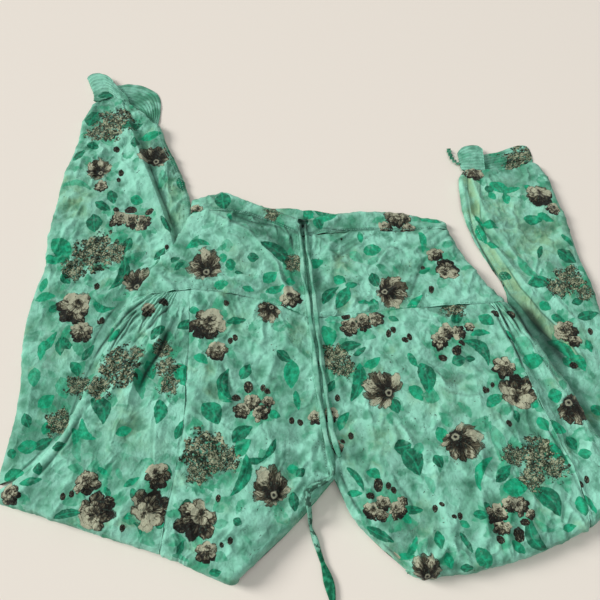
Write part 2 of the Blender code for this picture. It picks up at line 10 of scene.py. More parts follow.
import bpy
import numpy as np
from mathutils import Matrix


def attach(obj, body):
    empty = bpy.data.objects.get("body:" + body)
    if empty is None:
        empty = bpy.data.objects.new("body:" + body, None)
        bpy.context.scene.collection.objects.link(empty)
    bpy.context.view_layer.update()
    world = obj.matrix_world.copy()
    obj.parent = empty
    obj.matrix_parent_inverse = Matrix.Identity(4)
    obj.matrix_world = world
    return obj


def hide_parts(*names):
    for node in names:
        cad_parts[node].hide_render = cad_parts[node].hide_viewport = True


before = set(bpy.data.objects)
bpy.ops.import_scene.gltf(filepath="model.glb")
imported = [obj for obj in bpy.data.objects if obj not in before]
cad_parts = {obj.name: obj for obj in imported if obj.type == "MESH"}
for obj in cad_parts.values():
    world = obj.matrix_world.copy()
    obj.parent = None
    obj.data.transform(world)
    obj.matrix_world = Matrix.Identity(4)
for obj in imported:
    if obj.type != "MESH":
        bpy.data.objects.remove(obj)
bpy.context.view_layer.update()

MM = 0.001

# Sizes of the cloth, its folds, the drawstring's hole and the tie
SEAM_GAP = 0.4
EDGE_RADIUS = 10.0
EDGE_SHARE = 0.45
SEAM_STEP = 0.006
NOSE_REACH = 10.0
NOSE_MID = 11.0
NOSE_REST = 0.6
NOSE_TURN = 160
NOSE_STRETCH = 1.15
CORNER_ROUND = 16.0
CORNER_TAPER = 0.9
TUCK = 18.0
CORE_DEPTH = 2.8
CORE_REST = 0.7
CORE_STEP = 1.2
CORE_CLEARANCE = 0.1
CUFF_CLEARANCE = 0.62
KNEE_CLEARANCE = 0.04
HOLE_ROW = 0.31
HOLE_ROWS = 0.28
HOLE_HALF_WIDTH = 7.6
TIE_WIDTH = 7.4
TIE_THICKNESS = 3.6
TIE_LOWEST = 0.25

# How far creases may lower and lift the cloth, so that it stays clear of the layers beneath
LOWEST_LIFT = -2.3
HIGHEST_LIFT = 7.5

# The back of the casing: how far it peeps over the front, where, and how widely
PEEP_HEIGHT = 19.0
PEEP_X = 2.0
PEEP_WIDTH = 38.0
PEEP_ROWS = 14

# Stitching and threads
TOPSTITCH = 3.2
YOKE_STITCHES = 2.6
CENTRE_STITCHES = (2.4, 7.4)
LOWER_STITCHES = (4.2, 8.6)
STITCH_LENGTH = 2.3
STITCH_GAP = 1.0
STITCH_RADIUS = 0.27
STITCH_LIFT = 0.12
THREAD_PITCH = 0.9

# A stitch's own outline: shares of its length, and how thick it is there as a share of its radius
STITCH_OUTLINE = ((0.0, 0.35), (0.14, 0.95), (0.5, 1.1), (0.86, 0.95), (1.0, 0.35))

# How finely the cloth is divided, how thick its shells are, and how much creases and leaves are enlarged
SPACING = 1.9
LOWER_SPACING = 2.1
CUFF_SPACING = 1.5
CUFF_LEVELS = 84
CUFF_ROWS = 8
ROLL_STEPS = 7
NOSE_STEPS = 15
CORE_ROWS = 70
CORE_EDGE_POINTS = 13
CORE_CORNER_POINTS = 5
CORE_TOP_POINTS = 14
CORE_BOTTOM_POINTS = 12
RIBBON_STEP = 1.6
RIBBON_SIDES = 14
THICKNESS = 0.9
CASING_THICKNESS = 2.2
CUFF_THICKNESS = 1.3
LOWEST = 0.3
CREASE_GAIN = 1.85
LEAF_GAIN = 1.15

# The camera stands as it stood for the photograph. Its lens is as long as its sensor is wide.
CAMERA_DISTANCE = 800.0
CAMERA_ELEVATION = 66.0
CAMERA_LENS = 36.0
CAMERA_SENSOR = 36.0
PICTURE_SIZE = 600

# The surface that the garment lies on, in metres
FLOOR_SIZE = 6.0
FLOOR_HEIGHT = -0.0004


def table(kind, rows, shared=()):
    """Rows of numbers as rows of one kind. All of them end with the shared values."""
    return tuple(kind(*row, *shared) for row in rows)


# One section across half of the garment, as in the frame: where it starts, where its lengthwise seam
# or fold runs and where it ends, its bow, its heights, its roll and how far the lower leg passes under.
Section = namedtuple(
    "Section",
    "start_x start_y seam_x seam_y end_x end_y bow start_top end_top roll start_rest end_rest beneath",
)

WAIST_TOP, WAIST_SEAM, YOKE_SEAM, CROTCH, KNEE = 0, 1, 4, 8, 10
ALL_ZONES = ("start", "front", "side")

# The last section of a lower leg that shows, before the thigh lies over it
LOWER_SHOWN = 6.5

FRONT_LEFT = table(Section, (
    (4, 119, -112, 166, -154, 152, 0, 9.0, 10.5, 0, 5, 7.0, 1),
    (4, 92, -100, 132, -154, 128, 5, 10.5, 14.0, 0, 5, 9.4, 1),
    (8, 50, -113, 87, -174, 80, 5, 12.5, 15.5, 0, 5, 9.4, 1),
    (12, 8, -128, 46, -197, 41, 6, 15.0, 17.5, 0, 5, 9.4, 1),
    (16, -34, -143, 7, -220, -4, 9, 17.0, 20.0, 0, 6, 9.4, 1),
    (19, -65, -141, -48, -243, -50, 4, 19.0, 22.0, 0, 7, 9.4, 1),
    (24, -120, -139, -112, -258, -118, 0, 20.0, 24.0, 0, 7, 9.4, 1),
    (33, -180, -138, -172, -276, -174, 0, 22.0, 25.0, 0, 7, 9.4, 1),
    (40, -232, -144, -232, -304, -216, 0, 23.0, 25.0, 0.3, 7, 9.4, 1),
    (-7, -284, -149, -270, -330, -236, 0, 24.0, 25.0, 1, 7, 9.4, 1),
    (-66, -337, -152, -304, -349, -247, 0, 24.0, 24.0, 1, 7, 9.4, 1),
))

FRONT_RIGHT = table(Section, (
    (4, 119, 150, 130, 203, 118, 8, 9.0, 8.0, 0, 5, 4.4, 0),
    (4, 92, 150, 100, 206, 104, 4, 10.5, 9.6, 0, 5, 5.0, 0),
    (8, 50, 180, 62, 226, 58, 3, 12.5, 12.0, 0, 5, 5.0, 0),
    (12, 8, 214, 24, 245, 22, 2, 15.0, 14.5, 0, 5, 5.0, 0),
    (16, -34, 246, -12, 269, -8, 2, 17.0, 19.0, 0, 6, 8.6, 0.3),
    (19, -65, 260, -56, 293, -52, 0, 19.0, 22.0, 0, 7, 9.4, 1),
    (24, -120, 278, -116, 328, -118, 0, 20.0, 24.0, 0, 7, 9.4, 1),
    (33, -180, 297, -176, 351, -178, 0, 22.0, 25.0, 0, 7, 9.4, 1),
    (40, -232, 311, -218, 374, -218, 0, 23.0, 25.0, 0.3, 7, 9.4, 1),
    (66, -282, 318, -252, 388, -228, -8, 24.0, 25.0, 1, 7, 9.4, 1),
    (116, -328, 321, -276, 397, -231, -13, 24.0, 24.0, 1, 7, 9.4, 1),
))

LOWER_LEFT = table(Section, (
    (-216, 281, -288, 349, -317, 337, 4, 8, 8), (-208, 272, -246, 290, -331, 296, 0, 10, 11),
    (-193, 240, -235, 235, -333, 250, 0, 11, 12), (-173, 199, -220, 196, -344, 199, 0, 10, 12),
    (-157, 150, -204, 150, -347, 147, 0, 9, 11), (-152, 100, -186, 98, -349, 98, 0, 8.5, 10),
    (-178, 51, -215, 50, -346, 51, 0, 8.5, 10), (-206, 4, -250, 4, -353, 6, 0, 8.5, 9.5),
    (-228, -48, -270, -50, -357, -56, 0, 8.5, 9), (-243, -116, -280, -116, -348, -118, 0, 8.5, 9),
    (-261, -172, -295, -172, -348, -174, 0, 8.5, 8.5), (-289, -208, -318, -210, -351, -212, 0, 8.5, 8.5),
    (-316, -228, -333, -232, -351, -238, 0, 8.5, 8.5),
), shared=(1, 3.6, 3.6, 0))

LOWER_RIGHT = table(Section, (
    (238, 204, 308, 206, 345, 220, 0, 8, 8), (232, 186, 285, 184, 361, 192, 0, 10, 10),
    (231, 150, 285, 150, 367, 160, 0, 11, 12), (233, 122, 290, 120, 374, 122, 0, 11, 12),
    (243, 86, 298, 84, 379, 86, 0, 10, 11), (258, 51, 310, 48, 384, 51, 0, 9, 11),
    (273, 18, 322, 18, 390, 20, 0, 8.5, 10), (276, -14, 325, -14, 394, -16, 0, 8.5, 9.5),
    (279, -54, 335, -54, 400, -56, 0, 8.5, 9), (312, -116, 355, -118, 409, -118, 0, 8.5, 9),
    (335, -172, 370, -172, 414, -172, 0, 8.5, 8.5), (350, -200, 380, -203, 412, -204, 0, 8.5, 8.5),
    (368, -215, 386, -219, 406, -224, 0, 8.5, 8.5),
), shared=(1, 3.6, 3.6, 0))

# Cuff bands: where each station lies at the seam and at the free edge, and its height.
CuffStation = namedtuple("CuffStation", "seam_x seam_y free_x free_y height")
CUFF_LEFT = table(CuffStation, (
    (-240, 299, -217, 292, 1.6), (-243, 312, -216, 322, 1.6), (-250, 322, -223, 351, 1.6),
    (-262, 329, -245, 368, 1.6), (-275, 332, -269, 374, 1.6), (-290, 334, -289, 371, 1.6),
    (-304, 336, -307, 374, 1.6), (-315, 337, -324, 378, 2.0), (-320, 338, -336, 381, 4.4),
    (-312, 333, -329, 388, 6.9), (-302, 337, -317, 390, 7.4), (-292, 340, -303, 382, 7.4),
    (-281, 333, -290, 368, 7.4), (-270, 328, -278, 353, 7.2), (-262, 321, -267, 338, 7.0),
))
CUFF_RIGHT = table(CuffStation, (
    (342, 213, 345, 227, 1.6), (338, 212, 342, 250, 1.6), (324, 208, 331, 254, 1.6),
    (310, 203, 312, 248, 1.6), (292, 202, 294, 241, 1.6), (272, 203, 273, 237, 1.6),
    (256, 206, 256, 237, 1.6), (246, 206.5, 244, 237, 2.0), (238, 206.5, 235, 236, 4.4),
    (244, 204.0, 242, 244, 6.9), (252, 203.5, 252, 248, 7.6), (262, 203.5, 263, 248, 7.6),
    (270, 204.0, 271, 243, 7.0),
))

# The drawstring's two ends, as in the frame
LONG_END = (
    (0.6, 109, 13.2), (0, 92, 14.4), (3, 60, 15.8), (4, 30, 17.6), (9, 0, 19.2), (13, -34, 21.0),
    (17, -70, 22.8), (20, -110, 23.6), (24, -145, 24.8), (30, -185, 26.0), (37, -214, 26.8),
    (37, -230, 27.4), (26, -238, 27.8), (14, -243, 27.8), (9, -250, 28.0), (9, -259, 28.2),
    (10.5, -268, 23.5), (11.5, -276, 13.0), (12.5, -285, 5.0), (17, -297, 3.4), (22, -312, 3.4),
    (29, -332, 3.4), (34, -350, 3.4), (36, -364, 3.4),
)
SHORT_END = (
    (7.6, 109, 13.2), (9, 92, 14.4), (12, 60, 15.8), (15, 30, 17.6), (18, 0, 19.2), (21, -34, 21.0),
    (25, -70, 22.8), (29, -110, 23.6), (33, -145, 24.8), (39, -185, 26.0), (46, -210, 26.8),
)

# Fans of pleats under the yoke: where the pleats point to, the angles between which they lie, how many
# there are, and how far they reach. A side's fan turns from its outer edge inwards.
Fan = namedtuple("Fan", "x y outer inner pleats reach")
FANS = {
    "left": Fan(-150, 34, -140, -112, 6, 80),
    "right": Fan(232, 34, -54, -80, 7, 66),
}

# Main creases: height, half width on their left and on their right seen along them, and their points.
Crease = namedtuple("Crease", "height left right points")
YOKE_CREASES = table(Crease, (
    (3.2, 10, 2.6, ((-135, 130), (-96, 109), (-73, 99), (-52, 75), (-31, 48), (-24, 15), (-14, -8))),
    (-1.6, 14, 10, ((-100, 132), (-60, 112), (-30, 84), (-10, 60))),
    (1.0, 7, 7, ((-150, 128), (-132, 110), (-108, 92), (-84, 84))),
    (1.0, 5, 8, ((-36, 62), (-16, 40), (-8, 6), (-2, -20))),
    (-1.4, 9, 6, ((-24, 82), (-12, 54), (-6, 20))),
    (1.1, 5, 7, ((-176, 78), (-150, 66), (-120, 64))),
    (1.0, 4, 6, ((-184, 58), (-160, 42), (-132, 34))),
    (-1.2, 4, 5, ((-186, 50), (-166, 34), (-146, 24))),
    (1.4, 5, 5, ((-196, 36), (-178, 20), (-166, 6))),
    (-1.2, 4, 4, ((-202, 30), (-186, 14), (-176, 2))),
    (1.2, 12, 8, ((194, 109), (137, 77), (74, 39))),
    (0.9, 6, 6, ((200, 96), (160, 82), (118, 84), (80, 70))),
    (0.9, 5, 5, ((204, 84), (172, 72), (140, 66))),
    (0.8, 5, 5, ((212, 70), (184, 62), (150, 58))),
    (1.1, 8, 6, ((228, 42), (196, 12), (186, -12))),
    (0.9, 6, 9, ((150, 60), (124, 40), (84, 28), (50, 6))),
    (1.0, 6, 6, ((30, 84), (44, 60), (40, 30), (26, 6))),
))
THIGH_CREASES = table(Crease, (
    (2.8, 6, 18, ((-213, -104), (-226, -132), (-264, -165), (-279, -202), (-311, -245))),
    (3.2, 4, 17, ((-176, -25), (-175, -62), (-185, -85), (-199, -108), (-203, -132))),
    (-3.6, 9, 2.4, ((-160, -34), (-166, -54), (-180, -78), (-196, -100), (-199, -118))),
    (1.6, 3, 10, ((-152, -30), (-158, -56), (-172, -82), (-190, -106))),
    (2.2, 12, 8, ((-160, -100), (-172, -146), (-167, -218), (-186, -250), (-206, -282))),
    (-1.4, 12, 8, ((-196, -150), (-206, -200), (-232, -240))),
    (2.0, 6, 11, ((-226, -82), (-244, -112), (-262, -146), (-282, -176), (-298, -206))),
    (-1.8, 5, 5, ((-222, -100), (-242, -134), (-262, -168), (-280, -204), (-300, -232))),
    (1.7, 12, 10, ((-140, -128), (-100, -160), (-70, -206), (-58, -250))),
    (1.5, 8, 6, ((-110, -60), (-84, -84), (-40, -92), (0, -100))),
    (1.7, 5, 9, ((-84, -84), (-50, -92), (-20, -106))),
    (-1.4, 6, 6, ((-80, -96), (-44, -104), (-10, -116))),
    (1.3, 6, 8, ((-84, -56), (-56, -70), (-36, -92))),
    (1.1, 8, 6, ((-50, -180), (-20, -196), (8, -200))),
    (1.3, 9, 7, ((-60, -274), (-30, -250), (6, -236))),
    (1.6, 8, 8, ((-102, -306), (-84, -286), (-44, -282))),
    (-1.4, 8, 8, ((-84, -300), (-60, -292), (-30, -286))),
    (1.2, 7, 9, ((-126, -60), (-120, -100), (-130, -150), (-124, -200))),
    (1.1, 9, 6, ((-96, -120), (-64, -128), (-30, -150))),
    (1.2, 7, 7, ((-30, -40), (-16, -70), (6, -86), (22, -120))),
    (1.2, 8, 6, ((-120, -240), (-90, -250), (-70, -280))),
    (2.5, 5, 14,
     ((256, -34), (266, -85), (277, -111), (286, -146), (301, -192), (314, -226), (321, -264))),
    (-2.0, 5, 5, ((270, -60), (288, -104), (304, -150), (320, -200))),
    (1.8, 8, 8, ((284, -64), (306, -110), (326, -160), (340, -206))),
    (1.7, 5, 12, ((168, -116), (177, -125), (190, -134), (212, -138))),
    (-1.6, 9, 8, ((186, -120), (206, -110), (226, -102))),
    (1.3, 8, 13, ((130, -50), (150, -90), (172, -118))),
    (1.2, 8, 10, ((212, -138), (232, -170), (236, -220))),
    (1.4, 11, 8, ((60, -90), (80, -140), (88, -200), (104, -250))),
    (1.2, 8, 6, ((100, -180), (140, -200), (188, -206))),
    (1.4, 9, 7, ((126, -190), (160, -216), (214, -232), (238, -262))),
    (1.9, 4, 6, ((206, -246), (204, -272), (208, -298))),
    (2.1, 5, 5, ((236, -262), (228, -290), (232, -318))),
    (-1.8, 4, 4, ((218, -262), (217, -284), (222, -306))),
    (1.8, 4, 6, ((262, -256), (256, -280), (262, -302))),
    (1.6, 4, 6, ((292, -250), (288, -276), (290, -296))),
    (1.5, 6, 6, ((160, -262), (166, -292), (172, -316))),
    (1.4, 5, 6, ((70, -246), (92, -270), (112, -282))),
    (-1.0, 12, 12, ((50, -180), (70, -210), (80, -238))),
    (1.2, 7, 9, ((40, -60), (70, -84), (110, -92), (140, -120))),
    (1.2, 8, 6, ((150, -16), (180, -50), (196, -96))),
    (1.1, 8, 6, ((60, -20), (100, -36), (130, -70))),
    (1.2, 9, 6, ((170, -160), (190, -180), (206, -214))),
))
LOWER_CREASES = table(Crease, (
    (4.2, 2.6, 20,
     ((-262, 300), (-247, 262), (-236, 233), (-212, 178), (-191, 125), (-176, 88), (-166, 60))),
    (-2.4, 5, 5, ((-238, 262), (-226, 236), (-204, 178), (-184, 128), (-169, 92))),
    (-2.4, 10, 20, ((-226, 20), (-240, -20), (-262, -66), (-276, -118), (-292, -172), (-320, -214))),
    (-3.4, 12, 7, ((262, 24), (280, -6), (302, -52), (336, -118), (358, -176), (380, -210))),
    (2.4, 2.2, 12, ((232, 196), (238, 160), (240, 130), (252, 98), (276, 58), (292, 34), (306, 10))),
    (1.8, 2.2, 10, ((-256, 330), (-240, 312), (-218, 290), (-208, 272))),
    (1.6, 9, 12, ((-300, -20), (-318, -70), (-330, -120), (-332, -170))),
    (1.4, 8, 8, ((-262, 250), (-290, 232), (-322, 214))),
    (1.6, 7, 10, ((-236, 222), (-262, 200), (-300, 192), (-330, 196))),
    (1.2, 8, 8, ((-222, 190), (-250, 160), (-290, 150), (-330, 160))),
    (1.3, 6, 8, ((-300, 150), (-262, 128), (-226, 124))),
    (1.4, 6, 9, ((-330, 116), (-290, 116), (-250, 92), (-214, 96))),
    (1.5, 7, 7, ((-202, 112), (-222, 74), (-244, 40), (-250, 4))),
    (-1.4, 7, 7, ((-214, 60), (-232, 24), (-240, -16))),
    (1.2, 8, 8, ((-340, 60), (-300, 40), (-262, 44))),
    (1.3, 8, 8, ((-344, -10), (-306, -60), (-290, -110))),
    (1.4, 5, 12, ((-350, -90), (-330, -110), (-330, -160), (-340, -200))),
    (1.3, 7, 7, ((-262, 316), (-280, 296), (-318, 290))),
    (2.6, 9, 2.4, ((246, 196), (252, 160), (256, 130), (268, 98), (292, 60), (310, 30), (322, 6))),
    (1.8, 3.5, 8, ((270, 74), (292, 40), (312, 8), (330, -22), (344, -60))),
    (1.4, 10, 10, ((268, 170), (300, 150), (340, 152))),
    (1.2, 9, 9, ((270, 128), (304, 118), (352, 132))),
    (1.3, 10, 8, ((286, 92), (320, 96), (366, 82))),
    (-1.4, 10, 10, ((276, 110), (310, 104), (352, 108))),
    (1.3, 6, 10, ((312, 50), (336, 36), (372, 40))),
    (1.8, 4, 10, ((322, 20), (340, -8), (362, -40), (372, -90))),
    (-1.8, 5, 5, ((306, -4), (324, -30), (340, -66), (354, -104))),
    (1.3, 6, 6, ((354, 6), (378, 8), (392, 4))),
    (1.4, 6, 6, ((350, -40), (374, -26), (396, -30))),
))

# How each piece is crumpled: how strongly, along which direction on the left and on the right in
# degrees, and how many times longer the creases are that way.
Crumpling = namedtuple("Crumpling", "strength left right stretch")
CRUMPLINGS = {
    "waistband": Crumpling(0.75, -25, 8, 1.5),
    "yoke": Crumpling(1.1, -28, 25, 1.5),
    "leg": Crumpling(1.15, 70, -60, 1.35),
    "side": Crumpling(0.8, 65, -65, 1.6),
    "lower": Crumpling(1.0, 75, -70, 1.4),
}

# The petals of an anemone, and the rings of a rose from the outside in: radius, petals, how far the
# ring moves across and up, and how much paler it is.
PETALS = 7
ROSE_RINGS = (
    (1.06, 6, 0.0, 0.0, -0.42),
    (0.8, 6, 0.08, 0.1, 0.0),
    (0.55, 5, 0.16, 0.2, 0.15),
    (0.3, 3, 0.2, 0.3, 0.0),
)

# How many millimetres a pixel stands for where motifs are scattered
PLAIN_SIZE = 1.25

# The print. Places and sizes are read from the photograph, in its pixels.
# A bloom is its middle, its radius, its kind and, unless it is 0, its turn in degrees.
ANEMONE, ROSE, SPRAY, BUD = 0, 1, 2, 3
Bloom = namedtuple("Bloom", "x y radius kind turn", defaults=(0,))
BLOOMS = table(Bloom, (
    (206, 262, 21, ANEMONE, 10), (394, 288, 21, ANEMONE, -80), (379, 386, 23, ANEMONE, 50),
    (270, 484, 24, ANEMONE, 20), (464, 444, 25, ANEMONE, -140), (577, 408, 23, ANEMONE, -140),
    (155, 154, 19, ANEMONE), (428, 567, 19, ANEMONE, 10), (268, 310, 15, ANEMONE, 150),
    (137, 279, 18, ANEMONE, -10), (99, 168, 15, ANEMONE, 40), (208, 324, 20, ROSE),
    (218, 350, 12, ROSE, 30), (518, 390, 20, ROSE, 200), (502, 366, 13, ROSE), (97, 510, 21, ROSE, 160),
    (87, 481, 14, ROSE, 60), (197, 519, 22, ROSE), (204, 553, 13, ROSE, 20), (152, 507, 21, ROSE, 170),
    (159, 476, 14, ROSE, 60), (75, 307, 20, ROSE, 10), (82, 332, 12, ROSE, 40), (541, 194, 15, ROSE, 30),
    (554, 207, 8, ROSE), (446, 268, 15, ROSE, 180), (436, 252, 9, ROSE, 60), (569, 332, 13, ROSE, 90),
    (573, 341, 8, ROSE, 20), (473, 169, 11, ROSE), (8, 494, 13, ROSE, 80), (150, 309, 8, ROSE, 40),
    (162, 299, 6, BUD, 60), (196, 211, 8, ROSE), (102, 184, 8, ROSE, 40), (293, 296, 13, ROSE, 60),
    (397, 216, 14, ROSE, 10), (407, 228, 8, ROSE, 10), (388, 226, 8, ROSE, 80), (241, 409, 10, ROSE),
    (262, 411, 10, ROSE, 90), (252, 401, 10, ROSE, 40), (247, 386, 7, BUD, 20), (236, 396, 5, BUD, 80),
    (262, 386, 4, BUD), (268, 390, 4, BUD, 60), (270, 401, 7, ROSE, 30), (371, 510, 10, ROSE),
    (385, 503, 9, ROSE, 30), (397, 510, 10, ROSE, 60), (383, 514, 8, ROSE), (377, 484, 7, BUD),
    (370, 494, 5, BUD, 80), (388, 485, 4, BUD), (394, 488, 4, BUD, 30), (405, 501, 6, ROSE, 100),
    (497, 512, 12, ROSE), (508, 504, 9, ROSE, 60), (521, 504, 11, ROSE, 100), (500, 526, 9, ROSE, 10),
    (517, 534, 8, BUD, 10), (524, 521, 5, BUD, 90), (501, 538, 5, BUD, 30), (529, 513, 6, ROSE, 60),
    (117, 217, 10, ROSE), (130, 220, 9, ROSE, 60), (144, 222, 10, ROSE, 100), (130, 209, 7, BUD, 90),
    (115, 208, 4, BUD, 40), (148, 211, 5, BUD, 120), (350, 325, 11, ROSE), (363, 320, 10, ROSE, 60),
    (374, 318, 9, ROSE, 120), (345, 315, 5, BUD, 90), (440, 340, 11, ROSE, 30), (449, 332, 10, ROSE, 60),
    (459, 330, 9, ROSE, 120), (463, 341, 4, BUD, 60), (457, 349, 7, BUD, 150), (442, 357, 5, BUD, 60),
    (469, 325, 6, ROSE), (332, 414, 9, ROSE), (315, 417, 8, ROSE, 40), (293, 419, 4, BUD),
    (299, 421, 4, BUD, 30), (336, 448, 7, ROSE), (349, 436, 4, BUD, 10), (344, 441, 3, BUD, 60),
    (336, 397, 4, BUD), (112, 122, 22, SPRAY), (96, 131, 12, SPRAY, 40), (96, 250, 24, SPRAY, 20),
    (116, 251, 14, SPRAY, 100), (73, 267, 14, SPRAY, 60), (118, 366, 24, SPRAY, 60),
    (101, 386, 14, SPRAY), (137, 352, 10, SPRAY), (165, 366, 13, SPRAY), (170, 383, 12, SPRAY, 50),
    (162, 349, 11, SPRAY), (80, 385, 13, SPRAY, 20), (206, 450, 26, SPRAY), (229, 458, 15, SPRAY, 60),
    (196, 472, 13, SPRAY), (335, 357, 17, SPRAY), (344, 366, 12, SPRAY, 60), (536, 455, 22, SPRAY),
    (553, 467, 14, SPRAY, 40), (531, 477, 14, SPRAY), (515, 455, 13, SPRAY, 90), (570, 278, 17, SPRAY),
    (560, 285, 13, SPRAY, 60), (583, 290, 10, SPRAY), (452, 306, 13, SPRAY), (293, 262, 11, SPRAY),
    (58, 421, 15, SPRAY), (521, 154, 18, SPRAY), (514, 164, 11, SPRAY), (272, 212, 9, SPRAY),
    (98, 285, 4, BUD), (97, 321, 3, BUD, 30), (103, 319, 4, BUD), (168, 245, 3, BUD),
    (227, 301, 4, BUD, 20), (229, 339, 4, BUD), (235, 336, 4, BUD, 20), (64, 495, 4, BUD),
    (72, 492, 4, BUD), (124, 527, 4, BUD), (107, 499, 7, BUD, 80), (219, 497, 4, BUD), (229, 539, 4, BUD),
    (222, 543, 3, BUD, 20), (433, 508, 4, BUD), (440, 504, 3, BUD, 60), (460, 514, 4, BUD),
    (454, 515, 3, BUD, 70), (586, 478, 4, BUD), (581, 482, 4, BUD, 30), (391, 333, 4, BUD),
    (395, 330, 4, BUD, 20), (410, 335, 4, BUD, 10), (406, 338, 4, BUD, 60), (486, 389, 4, BUD),
    (492, 383, 3, BUD), (510, 422, 4, BUD, 30), (422, 266, 3, BUD), (431, 287, 4, BUD, 10),
    (488, 388, 3, BUD), (496, 311, 5, BUD, 40), (511, 312, 5, BUD, 50), (575, 364, 5, BUD, 90),
    (590, 330, 4, BUD), (118, 178, 3, BUD, 20), (122, 172, 4, BUD), (118, 150, 4, BUD, 60),
))

